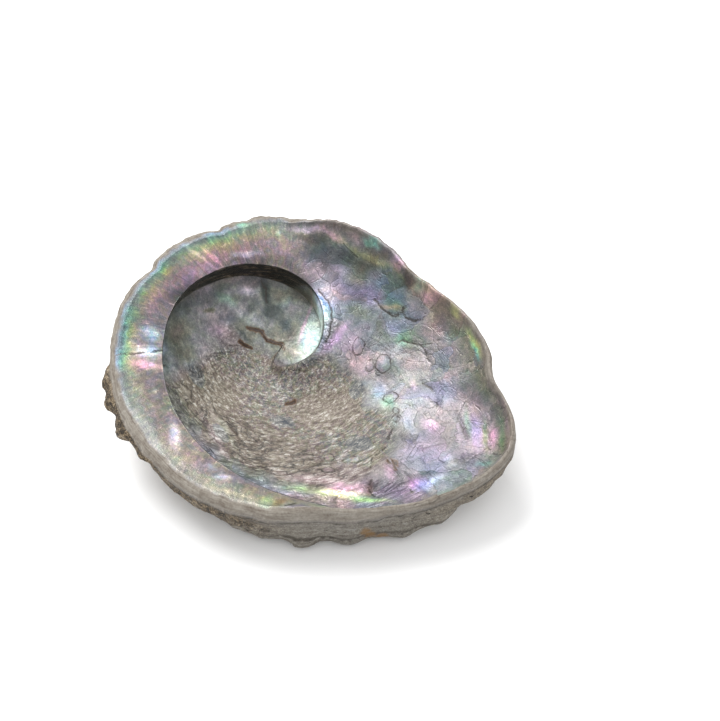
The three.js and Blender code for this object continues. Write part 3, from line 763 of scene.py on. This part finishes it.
# Painted shadow on the wall under the crest: all of it along the ledge, its upper part near the pit. Painted
# light on the lower wall of the pit's bright crescent.
wall_shadow_down = 0.15 + 0.95 * ease(88, 128, wall_turn)
wall_shadow_part = (1 - ease(wall_shadow_down - 0.12, wall_shadow_down + 0.12, part)) * ease(50, 80, wall_turn)
wall_shadow_paint = m_wall * with_lip(wall_shadow_part * (1 - ease(170, 235, wall_turn)))
painted_wall_light = m_wall * with_lip((1 - wall_shadow_part) * gauss((wall_turn - 65) / 45))
cloud, cloud_2, cloud_3 = fractal(px, py, pz, 13, 91), fractal(px, py, pz, 6, 92), fractal(px, py, 0, 3, 94)
radial = noise(45 * cos + 0 * px, 45 * sin + 0 * px, from_lip / 9, 3.0, 93)
low_side = ease(236, 262, angle) * (angle < 350)
from_rim = from_lip - 2.0 - 1.0 * low_side + 1.1 * cloud_2 + 0.5 * cloud_3
fringe = np.exp(-np.maximum(from_rim - 4.5, 0) / 5) * m_flat * (1 - 0.8 * low_side)
fringe_strength = (0.55 + 0.45 * cloud_2 + 0.3 * cloud_3) * fringe * (0.35 + 0.65 * ease(142, 160, angle))
hue_parts = [
    wheel(0.96 + 0.20 * cloud + 0.12 * radial, 0.11 * m_flat * ease(5, 10, from_rim)),
    wheel(0.68 - 0.068 * from_rim, fringe_strength),
    wheel(0.14 + 0.1 * cloud, 0.12 * m_flat * low_side * np.exp(-np.maximum(from_rim, 0) / 4)),
    wheel(0.26 + 0.1 * cloud, 0.22 * m_flat * gauss(apart(angle, 312) / 22)),
    wheel(0.5 * cloud + 0.8 * cloud_3, 0.17 * m_flat * ease(2, 6, from_rim)),
    wheel(0.50 + 0.40 * cloud + 0.2 * cloud_2, 0.16 * m_pit),
    wheel(0.70 + 0.40 * cloud + 0.2 * cloud_2, 0.22 * m_bowl),
    wheel(0.05 * from_lip + 0.3 * cloud, 0.35 * np.exp(-from_lip / 7) * m_bowl),
]
mark_stops, hue_east, hue_north = ovals(with_lip(fx, lip_x), with_lip(fy, lip_y), MARKS)
# Painted shade: marks and their colour are left off the shaded wall under the ledge.
ledge_wall_shade = (m_wall - painted_wall_light) * with_lip(ease(75, 100, wall_turn))
off_wall = 1 - ledge_wall_shade
hue_east = hue_east * off_wall + sum(part_of[0] for part_of in hue_parts)
hue_north = hue_north * off_wall + sum(part_of[1] for part_of in hue_parts)

# %% Lightness of the inside in stops
light = 0.32 * cloud + 0.22 * cloud_2 + 0.12 * cloud_3 + mark_stops * off_wall
light = light + m_flat * (0.12 + 0.22 * radial - 0.9 * gauss((from_rim - 1.4) / 2.0) * (1 - low_side))
# Painted shade darkens the wall under the ledge; painted light brightens the lit wall of the pit's crescent.
light = light - 0.25 * m_pit - ledge_wall_shade + 0.9 * painted_wall_light
light = light + m_pit * (0.4 * cloud_2 + 0.3 * cloud_3) + 0.25 * m_bowl * cloud_2
# Painted shade beside the coil of the spire.
coil_shade = 1.3 * with_lip(gauss((coil_side - 1.8) / 1.8)) * (0.65 + 1.4 * cloud_3)
light = light - coil_shade * with_lip(ease(45, 20, turn_1))
crest_line = with_lip(np.abs(wall_crest - radius) * walled + 9 * (1 - walled), 9.0)
light = light - 1.4 * gauss(crest_line / 0.45) * with_lip(ease(-40, 20, wall_turn))
# Painted shade on the floor at the foot of the wall under the crest.
shade = with_lip(np.where(walled, np.maximum(down - 1, 0) * width, 99.0), 99.0)
light = light - 0.8 * np.exp(-shade / 1.6) * (1 - m_wall)

# %% [markdown]
# The horny edge of the lip shows as a beige band. On the outside the fields are the crust's own:
# how deep the relief is at the spot, where the near wall is smooth and grey, where dark crust and
# painted shade lie under the lip, bore holes and rust stains.

# %% Fields over the whole shell
edge = 1 - ease(0.0, 0.9, from_rim - 0.2 + 0.5 * gauss(apart(angle, 60) / 60))
edge = edge * (1 - 0.6 * gauss(apart(angle, 60) / 40) * ease(0.3, 1.2, from_lip))
# Dark crust and painted shade under the lip: a dark brown-black strip on the near left, and painted shade
# over brownish layers under the lip at the front.
dirt_and_shade = ease(226, 238, outer_angle) * (1 - ease(296, 312, outer_angle))
dirt_and_shade = dirt_and_shade * ease(0.2, 1.0, under) * (1 - ease(12, 17, under))
front_dirt_and_shade = 0.5 * gauss(apart(outer_angle, 355) / 12) * ease(1.0, 2.2, under) * (1 - ease(9, 14, under))
dirt_and_shade = dirt_and_shade + front_dirt_and_shade * (1 - dirt_and_shade)
margin = np.maximum(low_margin, gauss((coil_side - 2) / 2.5))
none, far_off = 0 * edge, 0 * edge + HOLE_REACH
fields = {
    "light": whole(light), "scar": whole(m_scar), "bowl": whole(m_bowl), "ledge": whole(m_flat),
    # the wall field is the painted shadow on the wall under the crest
    "pit": whole(m_pit), "wall": whole(wall_shadow_paint),
    "edge": whole(edge, 1 - ease(0.1, 1.0, under)),
    "crust": whole(none, ease(-0.2, 0.5, under)),
    "margin": whole(with_lip(margin)), "bead": whole(with_lip(bead), -LINE_REACH),
    "crack": whole(with_lip(cracks), LINE_REACH), "vein": whole(with_lip(veins), LINE_REACH),
    "grain": whole(none, np.clip(fine, -3, 3)), "smooth": whole(none, smooth), "dirt_and_shade": whole(none, dirt_and_shade),
    "hole": whole(far_off, np.minimum(hole, bore)), "orange": whole(far_off, orange),
}
turned = np.broadcast_to(angle, (len(rings), COLUMNS))
vectors = {
    "hue": (whole(hue_east), whole(hue_north), whole(0 * hue_east)),
    "polar": (np.cos(np.radians(turned)), np.sin(np.radians(turned)), np.hypot(rings[..., 0], rings[..., 1])),
    "plan": (rings[..., 0], rings[..., 1], whole(from_lip, -under)),
}
print("fields", len(fields) + len(vectors))

# %% [markdown]
# ## The mesh object
# The arrays go into one mesh. Each field becomes an attribute of its points, which a material
# can read wherever the point is, with no need of a UV map.

# %% Build the shell's mesh
mesh = bpy.data.meshes.new("shell_surface")
mesh.from_pydata(points.tolist(), [], faces.tolist())
mesh.update()
mesh.polygons.foreach_set("use_smooth", np.ones(len(faces), bool))
shell = bpy.data.objects.new("shell_surface", mesh)
bpy.context.scene.collection.objects.link(shell)


def on_points(field):
    """A field of the rings as one value for each point; both ends take their ring's mean."""
    return np.concatenate([[field[0].mean()], field.ravel(), [field[-1].mean()]]).astype(np.float32)


for name, field in fields.items():
    mesh.attributes.new(name, "FLOAT", "POINT").data.foreach_set("value", on_points(field))
for name, parts in vectors.items():
    values = np.stack([on_points(part_of) for part_of in parts], -1)
    mesh.attributes.new(name, "FLOAT_VECTOR", "POINT").data.foreach_set("vector", values.ravel())


# %% [markdown]
# ## Shader maths as Python
# Node trees are easier to read as expressions. A small class wraps a socket, so that adding or
# multiplying two of them makes the Math node between them.

# %% Sockets that do maths
class Tree:
    """A material's node tree, with one method that adds any node and gives back its outputs."""

    def __init__(self, name):
        self.material = bpy.data.materials.new(name)
        self.material.use_nodes = True
        self.nodes = self.material.node_tree.nodes
        self.links = self.material.node_tree.links
        self.nodes.clear()

    def node(self, kind, settings=None, inputs=None):
        """Adds a node, sets its settings first, then its inputs by name or number."""
        made = self.nodes.new(kind)
        for key, value in (settings or {}).items():
            setattr(made, key, value)
        for key, value in (inputs or {}).items():
            if isinstance(value, Field):
                self.links.new(value.socket, made.inputs[key])
            else:
                made.inputs[key].default_value = value
        return made

    def attribute(self, name, output="Fac"):
        """The value of a point attribute."""
        return Field(self, self.node("ShaderNodeAttribute", {"attribute_name": name}).outputs[output])


class Field:
    """A socket whose value varies over the surface, with + - * and ** as Math nodes."""

    def __init__(self, tree, socket):
        self.tree = tree
        self.socket = socket

    def maths(self, operation, one, two=0.0, clamp=False):
        settings = {"operation": operation, "use_clamp": clamp}
        return Field(self.tree, self.tree.node("ShaderNodeMath", settings, {0: one, 1: two}).outputs[0])

    def __add__(self, other):
        return self.maths("ADD", self, other)

    def __radd__(self, other):
        return self.maths("ADD", other, self)

    def __sub__(self, other):
        return self.maths("SUBTRACT", self, other)

    def __rsub__(self, other):
        return self.maths("SUBTRACT", other, self)

    def __mul__(self, other):
        return self.maths("MULTIPLY", self, other)

    def __rmul__(self, other):
        return self.maths("MULTIPLY", other, self)

    def __pow__(self, other):
        return self.maths("POWER", self, other)

    def __rpow__(self, other):
        return self.maths("POWER", other, self)

    def clamped(self):
        return self.maths("ADD", self, 0.0, clamp=True)

    def fraction(self):
        return self.maths("FRACT", self)

    def size(self):
        return self.maths("ABSOLUTE", self)

    def most(self, other):
        return self.maths("MAXIMUM", self, other)

    def step(self, low, high):
        """A smooth step from 0 at low to 1 at high."""
        inputs = {"Value": self, "From Min": low, "From Max": high}
        made = self.tree.node("ShaderNodeMapRange", {"interpolation_type": "SMOOTHSTEP"}, inputs)
        return Field(self.tree, made.outputs[0])

    def ramp(self, stops):
        """The colour at this value on a ramp of (position, colour) stops."""
        made = self.tree.node("ShaderNodeValToRGB", None, {"Fac": self})
        ramp = made.color_ramp
        ramp.elements.remove(ramp.elements[-1])
        for k, (position, colour) in enumerate(stops):
            stop = ramp.elements[0] if k == 0 else ramp.elements.new(position)
            stop.position = position
            stop.color = (*colour, 1)
        return Field(self.tree, made.outputs[0])

    def parts(self):
        """The three parts of a vector."""
        made = self.tree.node("ShaderNodeSeparateXYZ", None, {0: self})
        return [Field(self.tree, made.outputs[k]) for k in range(3)]

    def scaled(self, x, y, z):
        """A vector with each part multiplied."""
        made = self.tree.node("ShaderNodeVectorMath", {"operation": "MULTIPLY"}, {0: self, 1: (x, y, z)})
        return Field(self.tree, made.outputs[0])

    def shifted(self, other):
        """A vector plus another."""
        made = self.tree.node("ShaderNodeVectorMath", {"operation": "ADD"}, {0: self, 1: other})
        return Field(self.tree, made.outputs[0])


def blend(amount, one, two, kind="MIX"):
    """Mixes two colours by amount, in the given blend mode."""
    tree = next(v.tree for v in (amount, one, two) if isinstance(v, Field))
    settings = {"data_type": "RGBA", "blend_type": kind}
    return Field(tree, tree.node("ShaderNodeMix", settings, {0: amount, 6: one, 7: two}).outputs[2])


def speckle(where, scale, detail=3.0, roughness=0.55, distortion=0.0):
    """Noise round 0, mostly from -1 to 1, with scale bumps for each unit of where."""
    made = where.tree.node("ShaderNodeTexNoise", None, {
        "Vector": where, "Scale": scale, "Detail": detail, "Roughness": roughness, "Distortion": distortion,
    })
    return (Field(where.tree, made.outputs["Fac"]) - 0.5) * 3.2


def plates(where, scale):
    """Voronoi cells: three chance numbers of the cell, and the distance to its border."""
    tree = where.tree
    inputs = {"Vector": where, "Scale": scale}
    cell = tree.node("ShaderNodeTexVoronoi", {"feature": "F1"}, inputs)
    line = tree.node("ShaderNodeTexVoronoi", {"feature": "DISTANCE_TO_EDGE"}, inputs)
    return Field(tree, cell.outputs["Color"]).parts(), Field(tree, line.outputs["Distance"])


# %% [markdown]
# ## Nacre
# Under the colours lies a grey-beige pearl. The interference colour is mixed in by its strength.
# The lightness in stops multiplies both, so dark hollows stay coloured. Fine noise, stretched
# along the growth direction of each zone, breaks everything up: radial streaks on the ledge,
# arcs in the scar, curved plates in the bowl.

# %% Noise for each zone
PEARL = (0.355, 0.327, 0.298, 1)
WHEEL = [
    (0.00, (0.56, 0.27, 0.36)), (0.12, (0.56, 0.38, 0.24)), (0.25, (0.46, 0.44, 0.18)),
    (0.36, (0.27, 0.46, 0.20)), (0.48, (0.16, 0.42, 0.34)), (0.60, (0.17, 0.32, 0.50)),
    (0.72, (0.28, 0.28, 0.55)), (0.86, (0.46, 0.28, 0.52)), (1.00, (0.56, 0.27, 0.36)),
]
tree = Tree("nacre_and_crust")
where = Field(tree, tree.node("ShaderNodeTexCoord").outputs["Object"]).scaled(1 / MM, 1 / MM, 1 / MM)
polar_at = tree.attribute("polar", "Vector")
plan = tree.attribute("plan", "Vector")
scar_m, bowl_m, ledge_m = tree.attribute("scar"), tree.attribute("bowl"), tree.attribute("ledge")
crust_m, edge_m = tree.attribute("crust"), tree.attribute("edge")

drift = speckle(where, 0.16, 4, 0.6, 0.4)
mottle = speckle(where, 0.45, 4, 0.62, 0.3)
mottle_2 = speckle(where.shifted((40, 0, 0)), 0.40, 5, 0.66, 0.6)
fleck = speckle(where, 1.3, 3, 0.6)
pepper = speckle(where, 2.6, 2, 0.5)
arcs = speckle(polar_at.scaled(9, 9, 0.75), 1.0, 3, 0.6, 0.5)
grain_arcs = speckle(polar_at.scaled(24, 24, 1.7), 1.0, 3, 0.7, 0.4)
knobs = speckle(polar_at.scaled(5, 5, 0.19), 1.0, 1.5, 0.5, 0.5)
knobs_2 = speckle(polar_at.scaled(9, 9, 0.30).shifted((9, 0, 0)), 1.0, 1.5, 0.5, 0.5)
scallops = speckle(plan.scaled(0.055, 0.075, 0), 1.0, 2, 0.45, 1.6)
rays = speckle(polar_at.scaled(34, 34, 0.12), 1.0, 3, 0.6, 0.3)
rays_2 = speckle(polar_at.scaled(75, 75, 0.22), 1.0, 2, 0.6, 0.2)
bent = plan.shifted(speckle(where, 0.09, 3, 0.5) * 4.5 + speckle(where, 0.28, 2, 0.5) * 1.4)
chance, border = plates(bent.scaled(1, 1.25, 0), 0.085)
chance_2, _ = plates(bent.scaled(1.2, 1, 0), 0.22)

# %% Interference colour
east, north, _ = tree.attribute("hue", "Vector").parts()
calm = 1 - 0.75 * scar_m
# The wall attribute holds the painted shadow on the wall under the crest.
pit_m, wall_shadow_m = tree.attribute("pit"), tree.attribute("wall")
streaky = ledge_m.most(pit_m * 0.3)
east_2 = east + calm * (0.13 * mottle + 0.06 * fleck + 0.13 * rays * streaky)
east_2 = east_2 + 0.26 * (chance[0] - 0.5) * bowl_m
north_2 = north + calm * (0.13 * mottle_2 + 0.06 * pepper + 0.11 * rays_2 * streaky)
north_2 = north_2 + 0.26 * (chance[1] - 0.5) * bowl_m
hue = north_2.maths("ARCTAN2", north_2, east_2) * (1 / (2 * np.pi))
strength = (east_2 * east_2 + north_2 * north_2) ** 0.5
wheel_colour = hue.fraction().ramp(WHEEL)
tint = (strength * 1.15 * (1 - 0.5 * scar_m)).clamped()
nacre = blend(tint, PEARL, wheel_colour)

# %% Lightness
stops = tree.attribute("light") - 0.12 + 0.46 * mottle + 0.40 * fleck + 0.34 * pepper
stops = stops + (0.40 * rays + 0.42 * rays_2) * ledge_m
stops = stops + ledge_m * (0.22 * mottle_2 + 0.8 * (rays_2 + mottle).step(0.5, 1.1))
stops = stops + (0.45 * (chance[2] - 0.5) + 0.30 * (chance_2[2] - 0.5)) * bowl_m
broken = (mottle_2 + 0.2).step(0.0, 0.5)
stops = stops + bowl_m * (0.35 * mottle_2 + 0.25 * drift)
stops = stops - 0.40 * bowl_m * broken * (1 - border.step(0.0, 0.05))
stops = stops + 0.22 * bowl_m * broken * (1 - (border - 0.06).size().step(0.0, 0.04))
stops = stops + pit_m * (0.55 * arcs + 0.50 * mottle_2 + 0.25 * mottle)
contour = 1 - scallops.size().step(0.0, 0.035)
stops = stops - 0.8 * bowl_m * broken * contour
stops = stops + 0.35 * bowl_m * (scallops + 0.05).size().step(0.12, 0.0)
gain = 2.0 ** stops
grey = tree.node("ShaderNodeCombineXYZ", None, {0: gain, 1: gain, 2: gain})
nacre = blend(1.0, nacre, Field(tree, grey.outputs[0]), "MULTIPLY")

# %% [markdown]
# The muscle scar is limy and matt, brown-grey with white and dark flecks along arcs round the
# spire. Blisters get a thin dark outline, cracks are dark brown and veins orange-brown.

# %% Scar, blisters, cracks and veins
SCAR_TONES = [
    (0.0, (0.038, 0.034, 0.028)), (0.3, (0.155, 0.136, 0.105)), (0.52, (0.295, 0.265, 0.208)),
    (0.72, (0.42, 0.39, 0.33)), (1.0, (0.86, 0.85, 0.78)),
]
flakes = speckle(polar_at.scaled(15, 15, 0.8).shifted((3, 0, 0)), 1.0, 2, 0.5, 0.9)
scar_value = 0.43 + 0.32 * arcs + 0.55 * grain_arcs + 0.55 * flakes + 0.35 * pepper + 0.10 * drift
scar_value = scar_value + 0.20 * tree.attribute("light")
scar_colour = blend(0.14, scar_value.ramp(SCAR_TONES), wheel_colour)
margin_m = tree.attribute("margin")
rings_of = (1 - knobs.size().step(0.02, 0.12)).most(0.9 * (1 - knobs_2.size().step(0.02, 0.12)))
rings_of = rings_of * (mottle_2 + 0.35).step(-0.1, 0.35)
knob_colour = blend(0.25, (0.5, 0.48, 0.44, 1), wheel_colour)
scar_colour = blend((0.5 * (knobs - 0.2).step(0.0, 0.4) * margin_m).clamped(), scar_colour, knob_colour)
ring_part = (0.95 * rings_of * margin_m * (fleck + 0.9)).clamped()
scar_colour = blend(ring_part, scar_colour, (0.035, 0.03, 0.026, 1))
nacre = blend(scar_m * (0.85 + 0.1 * mottle), nacre, scar_colour)
bead_in = tree.attribute("bead") + 0.16 * fleck
outline = (1 - bead_in.size().step(0.06, 0.34)) * (mottle + 0.55).step(0.0, 0.8)
nacre = blend(0.5 * bead_in.step(0.1, 0.8), nacre, blend(0.4, (0.40, 0.385, 0.36, 1), wheel_colour))
nacre = blend(0.72 * outline, nacre, (0.05, 0.042, 0.035, 1))
crack_in = tree.attribute("crack") + 0.22 * fleck
nacre = blend(0.85 * (1 - crack_in.step(0.12, 0.65)), nacre, (0.035, 0.026, 0.018, 1))
vein_in = tree.attribute("vein") + 0.35 * mottle + 0.15 * fleck
nacre = blend(0.95 * (1 - vein_in.step(0.5, 1.4)), nacre, (0.12, 0.050, 0.008, 1))
nacre = blend(0.95 * (1 - vein_in.step(0.2, 0.8)), nacre, (0.035, 0.013, 0.003, 1))
# The wall under the crest is painted near black with faint layer lines: a painted shadow.
layer_lines = speckle(where.scaled(0.12, 0.12, 0.75), 1.0, 3, 0.7, 0.6)
WALL_SHADOW_TONES = [
    (0.0, (0.003, 0.0025, 0.002)), (0.45, (0.012, 0.009, 0.006)), (0.7, (0.10, 0.068, 0.04)),
    (1.0, (0.36, 0.30, 0.24)),
]
wall_shadow_colour = (0.42 + 0.9 * layer_lines + 0.3 * mottle).ramp(WALL_SHADOW_TONES)
nacre = blend((wall_shadow_m * 0.96).clamped(), nacre, wall_shadow_colour)

# %% [markdown]
# ## Lip and crust
# The lip is horn and lime in thin layers, beige with brown lines. The outside is chalky: tan
# with grey and white patches, dark in its hollows, with small black bore holes. The near wall
# under the lip is smoother and grey.

# %% Lip and outside
layers = speckle(polar_at.scaled(9, 9, 0).shifted(plan.scaled(0, 0, 1.6)), 1.0, 3, 0.6, 0.4)
LIP_TONES = [
    (0.0, (0.07, 0.048, 0.03)), (0.35, (0.21, 0.175, 0.14)), (0.6, (0.355, 0.32, 0.27)),
    (1.0, (0.58, 0.55, 0.50)),
]
lip_colour = (0.52 + 0.30 * layers + 0.16 * mottle + 0.12 * fleck).ramp(LIP_TONES)
CRUST_TONES = [
    (0.0, (0.022, 0.017, 0.012)), (0.25, (0.15, 0.105, 0.06)), (0.5, (0.42, 0.32, 0.20)),
    (0.72, (0.60, 0.51, 0.36)), (1.0, (0.90, 0.86, 0.78)),
]
grain = tree.attribute("grain")
crust_value = 0.50 + 0.20 * grain + 0.32 * mottle + 0.26 * fleck + 0.25 * pepper + 0.12 * drift
crust = crust_value.ramp(CRUST_TONES)
pale = (drift + 0.6 * mottle + 0.25 * grain).step(0.35, 0.8)
ochre = (mottle_2 - 0.30 * grain - 0.3 * drift).step(0.15, 0.8)
crust = blend((0.65 * pale).clamped(), crust, (0.52, 0.52, 0.50, 1))
crust = blend((0.65 * ochre).clamped(), crust, (0.30, 0.17, 0.06, 1))
crust = blend((0.8 * (grain + 0.5 * fleck + 1.0).step(-0.2, -1.0)).clamped(), crust, (0.035, 0.025, 0.015, 1))
smooth_m = tree.attribute("smooth")
wall_value = 0.47 + 0.34 * layers + 0.24 * mottle + 0.22 * fleck + 0.15 * pepper
WALL_TONES = [
    (0.0, (0.06, 0.05, 0.04)), (0.4, (0.20, 0.19, 0.17)), (0.65, (0.30, 0.29, 0.265)),
    (1.0, (0.50, 0.49, 0.46)),
]
crust = blend(0.85 * smooth_m, crust, wall_value.ramp(WALL_TONES))
under_mm = plan.parts()[2] * -1
upper_seam = (1 - (under_mm - 2.0 + 0.9 * mottle).size().step(0.4, 1.2)) * smooth_m
lower_seam = (1 - (under_mm - 15 + 1.5 * mottle).size().step(0.3, 1.4)) * smooth_m
crust = blend((0.8 * (upper_seam + 0.8 * lower_seam)).clamped(), crust, (0.04, 0.03, 0.02, 1))
# Dark crust and painted shade under the lip, in the crust's darkest tones.
dirt_and_shade_m = tree.attribute("dirt_and_shade")
dirt_and_shade_value = 0.15 + 0.40 * mottle + 0.35 * fleck + 0.25 * pepper + 0.08 * grain
dirt_and_shade_m = dirt_and_shade_m * (1.1 + 1.3 * mottle_2 + 0.6 * drift).clamped()
crust = blend(0.95 * dirt_and_shade_m.clamped(), crust, dirt_and_shade_value.ramp(CRUST_TONES))
crust = blend(0.7 * (1 - tree.attribute("orange").step(1.2, 3.0)), crust, (0.30, 0.16, 0.045, 1))
hole_part = 1 - (tree.attribute("hole") + 0.3 * fleck).step(0.55, 1.05)
crust = blend(0.95 * hole_part, crust, (0.012, 0.009, 0.007, 1))

# %% [markdown]
# One material holds all of it, so the shell stays one piece with one finish slot. Nacre is
# glossy and a little metallic, the scar half matt, lip and crust dull.

# %% The finish
base = blend(edge_m.clamped(), nacre, lip_colour)
base = blend(crust_m.clamped() * (1 - edge_m).clamped(), base, crust)
base = blend(1.0, base, (0.64, 0.64, 0.64, 1), "MULTIPLY")
pearly = ((1 - scar_m * 0.8) * (1 - edge_m) * (1 - crust_m)).clamped()
rough = (0.88 - 0.56 * pearly + 0.06 * mottle).clamped()
relief_height = 0.30 * fleck + 0.14 * pepper + 0.5 * arcs * scar_m + 0.5 * mottle * (0.4 + 0.6 * crust_m)
relief_height = relief_height + bowl_m * (0.5 * border.step(0.0, 0.06) - 1.2 * contour) - 1.5 * outline
knob_height = 5 * knobs.size().step(0.0, 0.4) + 3 * knobs_2.size().step(0.0, 0.4)
relief_height = relief_height + margin_m * knob_height
bump = tree.node("ShaderNodeBump", None, {"Height": relief_height, "Strength": 0.55, "Distance": 0.0004})
surface = tree.node("ShaderNodeBsdfPrincipled", None, {
    "Base Color": base, "Roughness": rough, "Metallic": 0.30 * pearly, "Coat Weight": 0.35 * pearly,
    "Coat Roughness": 0.15, "Normal": Field(tree, bump.outputs[0]),
})
tree.node("ShaderNodeOutputMaterial", None, {"Surface": Field(tree, surface.outputs[0])})
mesh.materials.append(tree.material)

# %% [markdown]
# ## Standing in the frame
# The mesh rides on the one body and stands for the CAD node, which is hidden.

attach(shell, "root")
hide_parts("abalone_shell")

# %% [markdown]
# ## Studio
# A pale floor, a large soft lamp behind and to the left, a weaker one from the front, and a
# bright even sky. The camera looks down from the photo's angle.

# %% Floor, lamps and sky
floor_mesh = bpy.data.meshes.new("studio_floor")
floor_mesh.from_pydata([(-4, -4, 0), (4, -4, 0), (4, 4, 0), (-4, 4, 0)], [], [(0, 1, 2, 3)])
studio_floor = bpy.data.objects.new("studio_floor", floor_mesh)
bpy.context.scene.collection.objects.link(studio_floor)
paper = Tree("studio_paper")
paper_looks = {"Base Color": (0.9, 0.9, 0.9, 1), "Roughness": 0.9}
paper_surface = paper.node("ShaderNodeBsdfPrincipled", None, paper_looks)
paper.node("ShaderNodeOutputMaterial", None, {"Surface": Field(paper, paper_surface.outputs[0])})
floor_mesh.materials.append(paper.material)

VIEW_TURN, VIEW_RISE, VIEW_FAR = 37, 50, 0.68
AIM = Vector((0.0, 0.0319, 0.0122))


def studio(right, away, up):
    """A place in metres given along the photo's right, away from the camera and up."""
    t = np.radians(VIEW_TURN)
    return Vector((right * np.cos(t) - away * np.sin(t), right * np.sin(t) + away * np.cos(t), up))


def lamp(name, place, size, power, colour):
    """A square soft lamp that faces the shell."""
    data = bpy.data.lights.new(name, "AREA")
    data.size = size
    data.energy = power
    data.color = colour
    lamp_object = bpy.data.objects.new(name, data)
    lamp_object.location = place
    lamp_object.rotation_euler = (-place).to_track_quat("-Z", "Y").to_euler()
    bpy.context.scene.collection.objects.link(lamp_object)


lamp("key_lamp", studio(-0.3, 0.35, 0.75), 0.6, 8.6, (1, 1, 1))
lamp("fill_lamp", studio(0.2, -0.3, 0.9), 0.9, 2, (0.97, 0.98, 1))
sky = bpy.data.worlds.new("studio_sky")
sky.use_nodes = True
sky.node_tree.nodes["Background"].inputs["Color"].default_value = (1, 1, 1, 1)
sky.node_tree.nodes["Background"].inputs["Strength"].default_value = 0.90
bpy.context.scene.world = sky
bpy.context.scene.view_settings.view_transform = "Standard"

# %% Camera
camera_data = bpy.data.cameras.new("camera")
camera_data.lens = 85
camera_data.sensor_width = 36
camera = bpy.data.objects.new("camera", camera_data)
back = studio(0, -np.cos(np.radians(VIEW_RISE)), np.sin(np.radians(VIEW_RISE)))
camera.location = AIM + back * VIEW_FAR
camera.rotation_euler = back.to_track_quat("Z", "Y").to_euler()
bpy.context.scene.collection.objects.link(camera)
bpy.context.scene.camera = camera
